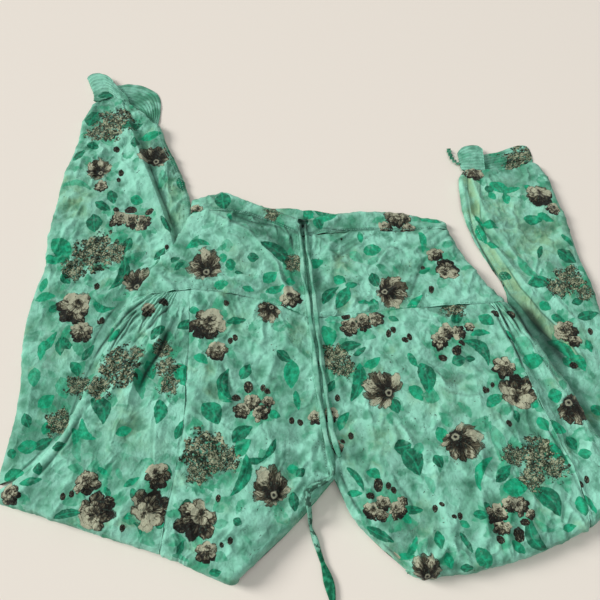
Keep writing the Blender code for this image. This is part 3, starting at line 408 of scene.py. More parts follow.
# A leaf is its middle, its length, its width, the angle it points at in degrees and how far it bends,
# unless it is straight.
Leaf = namedtuple("Leaf", "x y length width angle bend", defaults=(0,))
LEAVES = table(Leaf, (
    (478, 349, 30, 11, -50, 0.25), (479, 332, 18, 6, 5, 0.1), (427, 376, 28, 15, -80, 0.1),
    (433, 395, 14, 13, -20), (397, 380, 13, 8, -80), (416, 391, 17, 11, -50, 0.1),
    (395, 405, 15, 11, -60, 0.1), (412, 358, 15, 6, -60), (351, 345, 21, 10, 20, 0.1),
    (361, 350, 14, 6, 40), (374, 361, 17, 8, 30, -0.1), (357, 380, 36, 12, -105, 0.1),
    (402, 445, 15, 13, 10), (419, 448, 11, 9, 60), (412, 463, 26, 18, -60, 0.1), (442, 434, 17, 11, -70),
    (461, 359, 13, 11, 20), (343, 420, 19, 8, 60, 0.1), (393, 317, 10, 6, -30),
    (413, 303, 24, 8, 55, 0.1), (374, 303, 13, 10, 80), (333, 317, 14, 6, 10),
    (430, 483, 16, 7, -70, 0.1), (441, 460, 13, 9, -60), (228, 384, 29, 10, -80, -0.25),
    (223, 396, 18, 5, -40, -0.2), (211, 412, 24, 17, -50, 0.1), (286, 356, 16, 9, -40),
    (290, 373, 26, 14, -90), (297, 399, 19, 6, -80), (240, 432, 22, 13, 40, 0.1),
    (243, 446, 20, 12, 50, 0.1), (186, 323, 15, 10, -160), (195, 309, 9, 7, 0), (238, 320, 18, 7, 5),
    (200, 358, 15, 8, -30, 0.1), (247, 370, 15, 11, 60), (327, 334, 22, 13, -80, 0.15),
    (336, 319, 13, 5, 20), (184, 374, 26, 15, -60), (274, 413, 11, 8, -20), (104, 304, 22, 7, -20, -0.3),
    (66, 343, 15, 9, -40), (77, 368, 15, 9, -60, 0.1), (65, 387, 20, 13, -70), (90, 352, 17, 7, 60),
    (157, 330, 17, 9, 50, 0.1), (109, 333, 14, 7, 50), (161, 411, 22, 12, -90, 0.1),
    (149, 370, 18, 10, -70), (141, 383, 28, 9, -75), (101, 408, 26, 15, -60, 0.2),
    (84, 430, 24, 9, -50, -0.25), (76, 438, 23, 7, -75, 0.1), (125, 430, 14, 9, 20),
    (180, 427, 18, 8, 70), (522, 346, 20, 15, -60), (531, 360, 19, 14, 10), (510, 334, 15, 6, -50),
    (563, 351, 32, 10, -45, 0.15), (566, 363, 12, 6, -60), (494, 399, 21, 10, 30, 0.1),
    (497, 443, 36, 12, -80, 0.1), (534, 403, 9, 7, 60), (554, 394, 13, 11, -80), (558, 427, 20, 11, -20),
    (570, 442, 13, 10, -60), (516, 415, 12, 6, -80), (543, 422, 14, 9, -60), (596, 410, 13, 9, -30),
    (545, 304, 11, 9, -40), (589, 314, 20, 9, 15), (458, 316, 13, 9, 30), (487, 317, 15, 11, -40),
    (560, 452, 24, 9, -55), (222, 199, 18, 14, -80), (197, 242, 22, 8, 10, 0.2), (229, 245, 13, 10, -80),
    (231, 263, 12, 9, -80), (222, 259, 10, 7, -80), (181, 264, 12, 5, 40), (176, 257, 9, 6, 40),
    (278, 251, 36, 13, -45, 0.15), (254, 255, 10, 10, 0), (268, 276, 15, 11, 40), (276, 288, 17, 8, 15),
    (249, 287, 11, 6, -20), (265, 296, 10, 7, -60), (222, 283, 13, 9, 10), (238, 271, 8, 4, -10),
    (290, 280, 9, 8, 0), (228, 214, 10, 4, -70), (371, 249, 16, 12, 10), (357, 255, 16, 9, -50),
    (373, 259, 13, 7, 40), (360, 235, 13, 5, -85), (421, 240, 21, 6, -85, 0.1), (448, 242, 12, 6, 20),
    (338, 279, 12, 9, -30), (329, 293, 22, 9, 50, 0.1), (341, 297, 22, 12, -120), (353, 283, 11, 7, 10),
    (375, 279, 14, 10, -70), (375, 303, 13, 9, -90), (365, 300, 11, 4, 0), (326, 214, 22, 13, 20),
    (318, 221, 14, 9, -70), (429, 218, 20, 7, -20), (426, 271, 11, 6, 20), (315, 262, 15, 9, 20),
    (94, 116, 18, 13, 70), (108, 94, 15, 7, -20), (131, 122, 22, 8, 15, -0.1), (149, 134, 18, 9, 20),
    (79, 153, 14, 8, 50), (134, 141, 12, 7, -80), (115, 165, 13, 7, 60), (113, 195, 15, 9, -70),
    (135, 200, 12, 9, -20), (103, 204, 16, 8, -30), (77, 184, 28, 6, -10, 0.2), (96, 218, 14, 9, -60),
    (163, 178, 20, 8, -95, 0.1), (181, 182, 14, 7, -70), (172, 153, 12, 8, -60), (94, 144, 12, 7, -20),
    (501, 186, 20, 13, -30), (489, 187, 9, 8, 0), (491, 195, 9, 6, -60), (514, 188, 14, 6, 15),
    (505, 197, 11, 7, -80), (482, 231, 23, 8, -85, -0.15), (479, 219, 11, 5, -70), (490, 223, 14, 8, -20),
    (492, 246, 11, 6, -30), (541, 250, 14, 5, 70), (567, 254, 19, 12, -40), (568, 238, 16, 5, -50),
    (529, 186, 8, 6, -30), (531, 268, 32, 7, -50, -0.1), (541, 281, 24, 12, 0, 0.1),
    (505, 274, 11, 8, -20), (547, 217, 16, 6, -25), (532, 218, 16, 9, -10), (514, 162, 20, 10, 10),
    (583, 268, 9, 6, -40), (30, 445, 18, 12, 10), (11, 452, 9, 7, -70), (44, 442, 17, 10, 30),
    (58, 444, 12, 8, 20), (15, 474, 17, 14, 20), (37, 467, 11, 8, -70), (30, 479, 18, 7, 15),
    (77, 449, 22, 8, -80, -0.2), (104, 470, 13, 5, -40), (108, 475, 11, 5, -20), (119, 472, 12, 5, -60),
    (132, 480, 15, 6, 30), (136, 494, 14, 7, -60), (107, 491, 12, 5, -60), (68, 513, 28, 8, 12, 0.1),
    (128, 514, 9, 5, 30), (138, 527, 14, 5, -60, 0.3), (169, 470, 14, 6, -50), (181, 466, 10, 6, 40),
    (242, 476, 38, 11, -110, 0.15), (257, 459, 16, 6, 5, -0.1), (269, 449, 20, 6, 60, -0.1),
    (186, 502, 9, 8, 0), (162, 524, 9, 8, 0), (220, 522, 13, 8, 10), (210, 497, 11, 4, 60),
    (236, 520, 9, 7, -30), (181, 546, 13, 6, 70), (182, 558, 16, 6, -20), (214, 575, 12, 8, 10),
    (293, 500, 17, 9, -80), (292, 468, 10, 8, 0), (301, 471, 10, 8, 40), (356, 477, 26, 6, -55, 0.1),
    (375, 473, 14, 9, -30, 0.2), (355, 492, 14, 6, 0), (413, 508, 19, 7, 0), (405, 518, 11, 7, -40),
    (381, 534, 29, 9, -25), (404, 556, 20, 6, 10, 0.1), (414, 546, 20, 6, 60, -0.1),
    (439, 538, 15, 9, -80), (466, 541, 20, 5, -60), (449, 560, 15, 8, -75), (466, 569, 12, 8, 0),
    (466, 523, 10, 6, -30), (484, 471, 34, 8, -115, -0.2), (505, 474, 20, 10, 45), (516, 486, 24, 15, 10),
    (548, 499, 31, 16, -50, 0.15), (584, 452, 11, 9, 0), (582, 505, 17, 11, -80), (592, 503, 18, 6, -60),
    (546, 524, 22, 6, -30, -0.2), (538, 536, 36, 12, -60, -0.25), (521, 548, 17, 8, -45),
    (483, 560, 23, 14, -60), (570, 526, 13, 7, 15), (480, 513, 13, 8, -10), (488, 505, 9, 6, -50),
    (95, 222, 17, 14, -80), (60, 248, 28, 16, -60, 0.1), (54, 259, 16, 8, -10), (66, 258, 12, 9, -60),
    (119, 235, 17, 12, 10), (126, 245, 16, 9, -110), (137, 255, 20, 7, 40), (121, 272, 36, 10, -105, 0.2),
    (44, 296, 17, 9, 15, 0.1), (43, 283, 14, 7, -100), (55, 308, 11, 7, 30), (66, 278, 11, 8, -40),
    (159, 253, 14, 9, 50), (165, 222, 20, 5, -60), (48, 341, 22, 8, 60), (58, 347, 15, 9, -80),
    (68, 343, 12, 6, -20), (40, 350, 18, 8, -90), (65, 332, 16, 5, -110), (112, 334, 15, 6, 50),
    (150, 347, 12, 7, -60), (33, 375, 18, 11, -80), (48, 400, 16, 12, 40), (28, 420, 14, 9, -60),
    (46, 425, 14, 9, 70), (579, 362, 16, 8, -70), (590, 345, 12, 7, -80), (577, 300, 12, 7, 20),
    (560, 318, 13, 8, -30), (470, 360, 9, 6, 0), (330, 385, 12, 7, 60),
))

# Soft washes: their middle and radius in the picture, and how strong they are. The moss washes are in the
# cloth's dye; the deep washes are partly darker dye and partly painted shade, and the pale washes partly
# paler dye and partly painted highlight.
Wash = namedtuple("Wash", "x y radius strength")
MOSS_WASHES = table(Wash, (
    (505, 213, 26, 0.9), (538, 236, 26, 0.9), (516, 262, 20, 0.7), (480, 200, 14, 0.6),
    (77, 200, 18, 0.9), (95, 232, 12, 0.5), (272, 212, 11, 0.9), (243, 258, 14, 0.6), (176, 187, 14, 0.7),
    (172, 216, 16, 0.7), (60, 345, 16, 0.5), (125, 425, 20, 0.6), (152, 440, 16, 0.6),
    (240, 325, 16, 0.5), (298, 330, 13, 0.5), (420, 395, 14, 0.5), (385, 440, 17, 0.7),
    (347, 430, 13, 0.6), (425, 530, 14, 0.5), (342, 264, 11, 0.9), (455, 392, 18, 0.5),
    (395, 552, 15, 0.5), (215, 215, 12, 0.4), (468, 180, 8, 1.0), (469, 196, 8, 1.0), (472, 212, 8, 1.0),
    (480, 232, 8, 1.0), (490, 252, 7, 1.0), (502, 270, 7, 1.0), (515, 287, 7, 1.0), (524, 297, 6, 1.0),
    (532, 307, 7, 1.0), (542, 320, 7, 1.0), (555, 334, 7, 1.0), (567, 348, 6, 1.0), (578, 362, 6, 1.0),
))
DEEP_DYE_AND_SHADE_WASHES = table(Wash, (
    (242, 214, 16, 0.8), (266, 226, 17, 1.0), (286, 242, 15, 1.0), (293, 262, 10, 0.8),
    (326, 240, 14, 0.6), (38, 402, 20, 1.0), (34, 432, 16, 0.9), (95, 108, 18, 0.7), (60, 250, 13, 0.5),
    (470, 402, 18, 0.5), (518, 430, 18, 0.5), (560, 482, 22, 0.5), (300, 222, 10, 0.9),
    (402, 520, 14, 0.4), (545, 440, 18, 0.5), (572, 350, 14, 0.5), (175, 240, 10, 0.7),
    (345, 222, 20, 0.7), (420, 222, 14, 0.5), (172, 350, 12, 0.5), (132, 500, 14, 0.5),
    (255, 548, 16, 0.6), (140, 98, 17, 0.9), (152, 112, 14, 1.0), (500, 160, 16, 1.0), (484, 168, 8, 0.6),
    (536, 322, 7, 0.9), (548, 350, 7, 0.9), (156, 352, 9, 0.9), (142, 374, 9, 0.9), (150, 312, 8, 0.8),
    (126, 336, 10, 0.7),
))
PALE_DYE_AND_HIGHLIGHT_WASHES = table(Wash, (
    (205, 226, 18, 0.9), (226, 236, 13, 0.9), (252, 248, 11, 0.9), (372, 246, 14, 1.0),
    (388, 240, 11, 1.0), (520, 205, 18, 0.6), (128, 176, 20, 0.8), (252, 330, 20, 0.6),
    (225, 430, 18, 0.6), (266, 446, 18, 0.6), (240, 500, 20, 0.7), (430, 422, 20, 0.6),
    (440, 510, 22, 0.6), (412, 330, 18, 0.5), (500, 420, 13, 0.5), (60, 470, 18, 0.8),
    (110, 446, 16, 0.6), (156, 434, 18, 0.7), (182, 482, 18, 0.6), (160, 400, 12, 0.6),
    (180, 300, 12, 0.7), (480, 292, 12, 0.8), (90, 178, 14, 0.6), (440, 250, 12, 0.5), (467, 190, 6, 0.7),
    (474, 222, 6, 0.7), (496, 262, 6, 0.7), (531, 305, 6, 0.7), (550, 328, 6, 0.7), (98, 84, 12, 0.8),
    (112, 92, 9, 0.6), (470, 154, 10, 0.6),
))

# The curled strip end beside the right cuff, in mm
CURL = ((222, 246, 3.4), (223, 238, 3.2), (226, 227, 3.2), (232, 219, 4), (240, 217, 5.5))

# Narrow closed folds and dark gaps, darkened with painted shade: half their width in the picture, how dark
# the painted shade is and how deep they are, and their route
Shade = namedtuple("Shade", "half dark depth route")
SHADES = table(Shade, (
    (1.0, 0.8, 2.2, ((147, 299), (138, 305), (127, 314), (115, 328), (100, 348), (92, 361))),
    (0.9, 0.8, 2.0, ((140, 306), (132, 316), (126, 325), (117, 338), (107, 357))),
    (0.9, 0.7, 1.6, ((142, 311), (133, 319), (126, 332), (114, 347))),
    (1.2, 0.9, 2.4, ((171, 304), (166, 311), (158, 316), (152, 325), (146, 330))),
    (1.0, 0.7, 1.8, ((168, 296), (161, 300), (153, 306), (149, 314), (143, 322), (138, 334))),
    (2.0, 0.95, 3.2, ((168, 330), (165, 338), (158, 355), (151, 365), (146, 373), (139, 389))),
    (1.0, 0.7, 1.6, ((131, 349), (126, 358), (121, 366))),
    (1.0, 0.5, 1.6, ((148, 328), (139, 337), (131, 346))),
    (0.9, 0.6, 1.4, ((120, 302), (108, 317), (98, 333), (90, 350))),
    (1.0, 0.8, 1.8, ((493, 308), (498, 319), (505, 332), (512, 342), (519, 357), (526, 374))),
    (1.1, 0.9, 1.8, ((497, 305), (501, 313), (506, 323), (511, 331))),
    (1.1, 0.8, 1.8, ((503, 304), (508, 312), (515, 321), (521, 333))),
    (1.2, 0.9, 1.8, ((509, 303), (515, 310), (521, 319), (527, 330), (536, 344))),
    (5.2, 0.98, 0.0, ((520, 302), (532, 318), (542, 332), (550, 343), (557, 351), (568, 366))),
    (1.1, 0.6, 1.0, ((466, 176), (466, 200), (469, 216), (472, 231), (483, 252), (496, 274), (508, 291))),
    (1.0, 0.8, 1.2, ((323, 433), (324, 449), (328, 470), (330, 478))),
    (1.0, 0.7, 1.2, ((331, 430), (334, 443), (335, 456), (333, 472))),
    (1.3, 0.8, 1.2, ((337, 461), (343, 480), (347, 491), (356, 506), (364, 516))),
    (1.2, 0.8, 1.0, ((381, 542), (391, 551), (400, 560))),
    (3.0, 0.95, 0.0, ((310, 491), (315, 485), (324, 481), (332, 477))),
    (1.2, 0.8, 1.0, ((284, 225), (288, 232), (292, 240), (293, 252))),
    (2.6, 0.97, 0.0, ((296, 222), (304, 221), (311, 221))),
    (2.6, 0.97, 0.0, ((299, 226), (304, 227), (309, 225))),
    (2.4, 0.9, 0.0, ((303, 229), (305, 233), (304, 239))),
    (1.0, 0.5, 1.4,
     ((98, 352), (86, 376), (76, 400), (70, 418), (60, 432), (46, 446), (30, 463), (14, 478))),
    (1.0, 0.45, 1.4, ((85, 398), (81, 416), (66, 441), (50, 462), (24, 490))),
    (1.4, 0.3, 1.5, ((212, 212), (238, 223), (252, 232), (267, 249), (280, 264), (287, 283), (293, 298))),
    (0.9, 0.6, 1.0, ((231, 213), (251, 222), (270, 225), (280, 227), (289, 236))),
    (0.9, 0.6, 1.0, ((313, 232), (322, 228), (339, 230), (352, 232))),
    (1.2, 0.35, 1.6, ((447, 219), (434, 226), (423, 235))),
    (1.2, 0.3, 1.6, ((451, 225), (438, 233), (428, 241))),
    (1.2, 0.3, 1.6, ((453, 232), (442, 240), (430, 250))),
    (1.3, 0.35, 1.8, ((376, 264), (381, 253), (391, 246), (402, 250), (409, 261))),
    (1.3, 0.4, 1.8, ((430, 250), (421, 266), (416, 280), (411, 293), (404, 303))),
    (1.1, 0.4, 1.4, ((330, 262), (345, 252), (362, 240), (378, 232))),
    (1.3, 0.35, 1.6, ((216, 355), (226, 372), (232, 392), (236, 414))),
    (1.3, 0.35, 1.6, ((160, 400), (154, 424), (152, 450), (153, 475))),
    (1.2, 0.35, 1.6, ((437, 384), (450, 392), (470, 396), (486, 392))),
    (1.2, 0.4, 1.6, ((391, 470), (398, 484), (408, 497), (416, 512))),
    (1.2, 0.5, 1.4, ((540, 408), (548, 430), (560, 448), (572, 474), (581, 492), (588, 508))),
    (1.0, 0.7, 0.8, ((296, 222), (299, 230), (301, 240), (303, 256))),
    (0.8, 0.6, 0.8, ((142, 146), (149, 163), (155, 180), (161, 196), (168, 213), (173, 228))),
))

# The bound strip down the right lower leg: its middle and half its width in the picture, and the margin
# that counts as far outside it.
FAR_OUTSIDE = -9.0
Stop = namedtuple("Stop", "x y half")
STRIP = table(Stop, (
    (474, 172, 6.5), (474, 200, 6.5), (475, 215, 5.5), (478, 232, 5), (489, 250, 6), (503, 272, 6.5),
    (515, 291, 6.5), (526, 303, 6.5), (536, 316, 6.5), (548, 328, 7), (559, 339, 6.5), (570, 352, 5.5),
    (579, 363, 4),
))

# Colours from 0 to 255, as a screen shows them
COLOURS = {
    "mint": (100, 166, 138),
    # Pale mint of the print, also the painted highlight on ridges and in the pale washes
    "shallow": (152, 222, 197),
    "grey": (108, 150, 134),
    # Deep mint of the print, also painted shade in the deep washes
    "deep": (52, 122, 93),
    "moss": (134, 170, 120),
    "strip": (150, 188, 142),
    "wash": (44, 152, 112),
    # Painted shade, for creases, closed folds, gaps and hollows
    "shadow": (20, 76, 58),
    "deep_shade": (10, 30, 24),
    "leaf": (0, 140, 98),
    "leaf_deep": (0, 86, 60),
    "leaf_light": (12, 172, 126),
    "petal": (172, 174, 148),
    "petal_mid": (84, 80, 62),
    "line": (22, 19, 12),
    "floret": (160, 166, 136),
    "floret_mid": (68, 76, 52),
    "floret_dark": (20, 26, 16),
    "thread": (132, 190, 168),
    "tie": (4, 92, 62),
    "tie_pale": (138, 198, 174),
    "tie_mid": (84, 152, 126),
    "tie_dark": (34, 66, 50),
    "floor": (236, 228, 217),
}


def smooth(before, here, there, after, t):
    """A value between here and there, on a smooth curve through all four."""
    slope_in = (there - before) / 2
    slope_out = (after - here) / 2
    return (here * (2 * t**3 - 3 * t**2 + 1) + slope_in * (t**3 - 2 * t**2 + t)
            + there * (3 * t**2 - 2 * t**3) + slope_out * (t**3 - t**2))


def sections(rows, stations):
    """The sections at fractional rows, one array for each column of the table."""
    values = np.array(rows, float)
    stations = np.asarray(stations, float)
    low = np.minimum(stations.astype(int), len(values) - 2)
    t = (stations - low)[:, None]
    first = np.zeros(len(low), int)
    last = np.full(len(low), len(values) - 1)
    if rows in (FRONT_LEFT, FRONT_RIGHT):
        first = np.where(low < CROTCH, 0, CROTCH)
        last = np.where(low < CROTCH, CROTCH, last)
    around = [values[np.clip(low + k, first, last)] for k in (-1, 0, 1, 2)]
    found = Section(*smooth(*around, t).T)
    rolls = Section(*values.T).roll
    roll = rolls[low] + (rolls[low + 1] - rolls[low]) * t[:, 0]
    return found._replace(roll=roll, beneath=np.clip(found.beneath, 0, 1))


def widths(section):
    """How wide the sections are up to their lengthwise seam or fold, and beyond it."""
    first = np.hypot(section.seam_x - section.start_x, section.seam_y - section.start_y)
    second = np.hypot(section.end_x - section.seam_x, section.end_y - section.seam_y)
    return first, second


def place(section, across):
    """Flat places at distances across the sections, one row of distances for each section."""
    columns = Section(*(np.asarray(value)[:, None] for value in section))
    first, second = widths(columns)
    f = across / first
    g = (across - first) / second
    bowed = columns.bow * 4 * f * (1 - f) * (f > 0)
    x = np.where(across <= first, columns.start_x + (columns.seam_x - columns.start_x) * f,
                 columns.seam_x + (columns.end_x - columns.seam_x) * g)
    y = np.where(across <= first, columns.start_y + (columns.seam_y - columns.start_y) * f + bowed,
                 columns.seam_y + (columns.end_y - columns.seam_y) * g)
    return x, y


# Noise, the same on every run


def lattice_noise(x, y, seed):
    """Smooth noise from -1 to 1, with one bump for each unit."""
    low_x, low_y = np.floor(x).astype(np.int64), np.floor(y).astype(np.int64)
    fx, fy = x - low_x, y - low_y

    def corner(i, j):
        h = ((low_x + i) * 374761393 + (low_y + j) * 668265263 + seed * 974634777) & 0xFFFFFFFF
        h = ((h ^ (h >> 13)) * 1274126177) & 0xFFFFFFFF
        h ^= h >> 16
        angle = (h & 0xFFFF) / 65536 * 2 * math.pi
        return np.cos(angle) * (fx - i) + np.sin(angle) * (fy - j)

    sx = fx * fx * fx * (fx * (fx * 6 - 15) + 10)
    sy = fy * fy * fy * (fy * (fy * 6 - 15) + 10)
    upper = corner(0, 0) * (1 - sx) + corner(1, 0) * sx
    lower = corner(0, 1) * (1 - sx) + corner(1, 1) * sx
    return (upper * (1 - sy) + lower * sy) * 1.5


def ridges(x, y, seed):
    """Noise with sharp crests, from about 0 to 1."""
    return 1 - np.minimum(np.abs(lattice_noise(x, y, seed)) * 2.2, 1.0)


def crumple(x, y, seed, turn=0.0, stretch=1.0):
    """Fine random creasing of thin cotton, in millimetres, longer along the turned direction."""
    c, s = math.cos(math.radians(turn)), math.sin(math.radians(turn))
    a = (x * c + y * s) / stretch
    b = -x * s + y * c
    wa, wb = (
        start + 12 * lattice_noise(a / 36, b / 36, first) + 4 * lattice_noise(a / 12, b / 12, first + 1)
        for start, first in ((a, seed + 1), (b, seed + 3))
    )
    patch = 0.5 + 0.5 * lattice_noise(a / 60, b / 60, seed + 5)
    broad = 2.2 * lattice_noise(wa / 50, wb / 50, seed + 6)
    main = 2.8 * (0.5 + patch) * (ridges(wa / 40, wb / 40, seed + 7) ** 2.2 - 0.25)
    middle = 1.5 * (0.35 + patch) * (ridges(wa / 18, wb / 18, seed + 8) ** 2 - 0.3)
    small = 0.62 * (0.4 + patch) * (ridges(wa / 7.5, wb / 7.5, seed + 9) ** 1.5 - 0.4)
    return broad + main + middle + small


def route_distance(x, y, route):
    """Each point's distance from a route, the stops passed there, and its side: above 0 is the left."""
    nearest = np.full(x.shape, np.inf)
    passed = np.zeros(x.shape)
    side = np.zeros(x.shape)
    for k, (here, there) in enumerate(zip(route, route[1:])):
        step_x, step_y = there[0] - here[0], there[1] - here[1]
        share = ((x - here[0]) * step_x + (y - here[1]) * step_y) / (step_x ** 2 + step_y ** 2)
        share = np.clip(share, 0, 1)
        off_x, off_y = x - here[0] - step_x * share, y - here[1] - step_y * share
        distance = np.hypot(off_x, off_y)
        closer = distance < nearest
        nearest = np.where(closer, distance, nearest)
        passed = np.where(closer, k + share, passed)
        side = np.where(closer, step_x * off_y - step_y * off_x, side)
    return nearest, passed, side


def crease_lift(creases, x, y):
    """How far the main creases lift or lower the cloth."""
    lift = np.zeros_like(x)
    uneven = 1 + 0.25 * lattice_noise(x / 17, y / 17, 77)
    for crease in creases:
        nearest, _, side = route_distance(x, y, crease.points)
        width = np.where(side > 0, crease.left, crease.right) * uneven
        shape = 0.62 * np.exp(-(nearest / width) ** 2) + 0.38 * np.exp(-nearest / (0.45 * width))
        lift = lift + CREASE_GAIN * crease.height * shape
    return lift


# Cloth surfaces: a grid of points and the place of each on the flat print


class Surface:
    """One cloth piece: its points, their place on the print, and the painted highlight and shade that its
    relief gives its colour there.
    """

    def __init__(self, name, points, print_x, print_y):
        self.name = name
        self.points = points
        self.print_x = print_x
        self.print_y = print_y
        self.wear = np.zeros((1, 1))

    def normals(self):
        down = np.gradient(self.points, axis=0)
        across = np.gradient(self.points, axis=1)
        normal = np.cross(down, across)
        normal /= np.maximum(np.linalg.norm(normal, axis=2, keepdims=True), 1e-9)
        rows, columns = normal.shape[:2]
        if normal[rows // 3:2 * rows // 3, columns // 3:2 * columns // 3, 2].mean() < 0:
            normal = -normal
        return normal

    def displace(self, amount):
        """Moves the cloth along its normals, clear of the layers beneath. What stands out gets a painted
        highlight, and what sinks gets painted shade.
        """
        across, down, _ = pixels_of(self.points.reshape(-1, 3))
        depth = shade_amounts(across, down)[1].reshape(amount.shape)
        amount = np.maximum(np.clip(amount, LOWEST_LIFT, HIGHEST_LIFT) - depth, LOWEST_LIFT)
        self.points = self.points + self.normals() * amount[..., None]
        self.wear = self.wear + amount


def column_blocks(section, zones, spacing, trim):
    """Distances across, share of the roll and unrolled distances, for the wanted zones."""
    first, second = (value[:, None] for value in widths(section))
    whole = first + second
    radius = np.minimum(EDGE_RADIUS, EDGE_SHARE * second)
    turn = np.linspace(0, math.pi / 2, ROLL_STEPS + 1)[None, :-1]
    blocks = []
    if "start" in zones:
        roll = section.roll[:, None]
        inset = EDGE_RADIUS * (1 - np.cos(turn))
        inset = trim + inset * (EDGE_RADIUS - trim) / EDGE_RADIUS
        drop = (section.start_top - section.start_rest)[:, None]
        arc = EDGE_RADIUS - (math.pi / 2 - turn) * (EDGE_RADIUS + drop) / 2
        blocks.append((inset, (1 - np.sin(turn)) * roll, (1 - roll) * inset + roll * arc))
    if "front" in zones:
        count = max(2, int(math.ceil(first.max() / spacing)))
        end = first - (0 if "side" in zones else SEAM_GAP / 2)
        across = EDGE_RADIUS + (end - EDGE_RADIUS) * np.linspace(0, 1, count + 1)[None, :]
        blocks.append((across, across * 0, across))
    if "side" in zones:
        count = max(2, int(math.ceil(second.max() / spacing)))
        share = np.linspace(0, 1, count + 1)[None, :]
        share = share[:, 1:] if "front" in zones else share
        begin = first + (0 if "front" in zones else SEAM_GAP / 2)
        across = begin + (whole - radius - begin) * share
        blocks.append((across, across * 0, across))
        back = turn[:, ::-1]
        inset = radius * (1 - np.cos(back))
        drop = (section.end_top - section.end_rest)[:, None]
        flat = whole - radius + (math.pi / 2 - back) * (radius + drop) / 2
        blocks.append((whole - inset, 1 - np.sin(back) + 0 * inset, flat))
    return [
        np.concatenate([np.broadcast_to(part, (len(first), part.shape[1])) for part in parts], axis=1)
        for parts in zip(*blocks)
    ]


def cloth_surface(name, rows, stations, zones, spacing, trim=SEAM_GAP / 2, knee=False):
    """The plain surface of a run of sections, before any crease, with its distances kept."""
    section = sections(rows, stations)
    trim = np.broadcast_to(np.asarray(trim, float).reshape(-1, 1), (len(section.roll), 1))
    across, share, flat = column_blocks(section, zones, spacing, trim)
    first, second = (value[:, None] for value in widths(section))
    slope = (section.end_top - section.start_top)[:, None]
    height = section.start_top[:, None] + slope * across / (first + second)
    at_start = np.arange(across.shape[1]) < (ROLL_STEPS if "start" in zones else 0)
    rest = np.where(at_start, section.start_rest[:, None], section.end_rest[:, None])
    height = height - share * (height - rest)
    x, y = place(section, across)
    surface = Surface(name, np.stack([x, y, height], axis=2), *place(section, flat))
    surface.share = share
    surface.across = across
    surface.station = np.broadcast_to(np.asarray(stations, float)[:, None], across.shape)
    surface.first = np.broadcast_to(first, across.shape)
    if knee:
        add_knee_fold(surface, rows)
    return surface


def add_knee_fold(surface, rows):
    """Carries the surface over the knee fold and down to where it rests."""
    knee = Section(*(value[0] for value in sections(rows, [KNEE])))
    chord = np.array([knee.end_x - knee.start_x, knee.end_y - knee.start_y])
    chord /= np.hypot(*chord)
    ahead = np.array([chord[1], -chord[0]])
    ahead = -ahead if ahead[1] > 0 else ahead
    last = surface.points[-1]
    edge = np.minimum(np.hypot(last[:, 0] - knee.start_x, last[:, 1] - knee.start_y),
                      np.hypot(last[:, 0] - knee.end_x, last[:, 1] - knee.end_y))
    taper = np.sqrt(1 - CORNER_TAPER * np.maximum(0.0, 1 - edge / CORNER_ROUND) ** 2)
    points, prints = [], []
    for angle in np.linspace(0, NOSE_TURN, NOSE_STEPS + 1)[1:]:
        turn = math.radians(angle)
        reach = NOSE_REACH * math.sin(turn) * taper
        if angle <= 90:
            height = NOSE_MID + (last[:, 2] - NOSE_MID) * math.cos(turn)
        else:
            height = np.full(len(last), NOSE_MID + (NOSE_MID - NOSE_REST) * math.cos(turn))
        forward = last[:, 0] + ahead[0] * reach, last[:, 1] + ahead[1] * reach
        points.append(np.stack([*forward, height], axis=1))
        prints.append(ahead * NOSE_REACH * NOSE_STRETCH * turn)
    runs = np.array(prints)[:, :, None]
    surface.points = np.concatenate([surface.points, np.array(points)])
    surface.print_x = np.concatenate([surface.print_x, surface.print_x[-1] + runs[:, 0]])
    surface.print_y = np.concatenate([surface.print_y, surface.print_y[-1] + runs[:, 1]])
    for field in ("share", "across", "station", "first"):
        values = getattr(surface, field)
        setattr(surface, field, np.concatenate([values, np.repeat(values[-1:], len(points), axis=0)]))


def seam_distances(surface):
    """Distance of each point from the first row and from the last row, along the columns."""
    steps = np.linalg.norm(np.diff(surface.points, axis=0), axis=2)
    top = np.concatenate([np.zeros((1, steps.shape[1])), np.cumsum(steps, axis=0)])
    return top, top[-1] - top


def pucker(distance, along, seed, height=0.55, reach=9.0):
    """Short ripples across a stitched seam."""
    return height * np.exp(-distance / reach) * lattice_noise(along / 6.5, distance / 16, seed)


def hump(distance, middle, width, power=2):
    """1 at a middle distance, falling towards 0 over about a width on either side."""
    return np.exp(-((distance - middle) / width) ** power)


def groove(distance, depth=0.9, width=1.3):
    """The cloth turns down into a seam."""
    return -depth * hump(distance, 0, width)


def gathers(surface, side, down):
    """Pleats that fan out from where the panel is bunched into the yoke seam, and die away down it."""
    fan = FANS[side]
    x, y = surface.points[..., 0], surface.points[..., 1]
    angle = np.degrees(np.arctan2(y - fan.y, x - fan.x))
    turn = (angle - fan.outer) / (fan.inner - fan.outer)
    wander = 0.06 * lattice_noise(x / 26, y / 26, 31) + 0.025 * lattice_noise(x / 9, y / 9, 32)
    pleat = (turn + wander) * fan.pleats
    number = np.floor(pleat).astype(np.int64)
    luck = 0.5 + 0.5 * lattice_noise(number * 0.37 + 0.2, number * 0.0 + 0.5, 33)
    within = np.clip((1.25 - turn) / 0.3, 0, 1) * np.clip((turn + 0.35) / 0.2, 0, 1)
    starts = np.clip(down / 5, 0.45, 1)
    fade = np.exp(-(down / (fan.reach * (0.6 + 0.8 * luck))) ** 1.6)
    fine = (ridges_of(pleat * 2 + 0.3) - 0.7) * 1.2 * np.exp(-(down / 34) ** 1.5)
    ripple = 0.9 * lattice_noise(angle / 3.0, down / 30, 34) * np.exp(-down / 60)
    return within * starts * ((2.2 + 3.4 * luck) * (ridges_of(pleat) - 0.6) * fade + fine + ripple)


def ridges_of(phase):
    """Rounded pleats with narrow valleys, one for each unit of phase, from 0 to 1."""
    return np.abs(np.sin(math.pi * phase)) ** 0.65


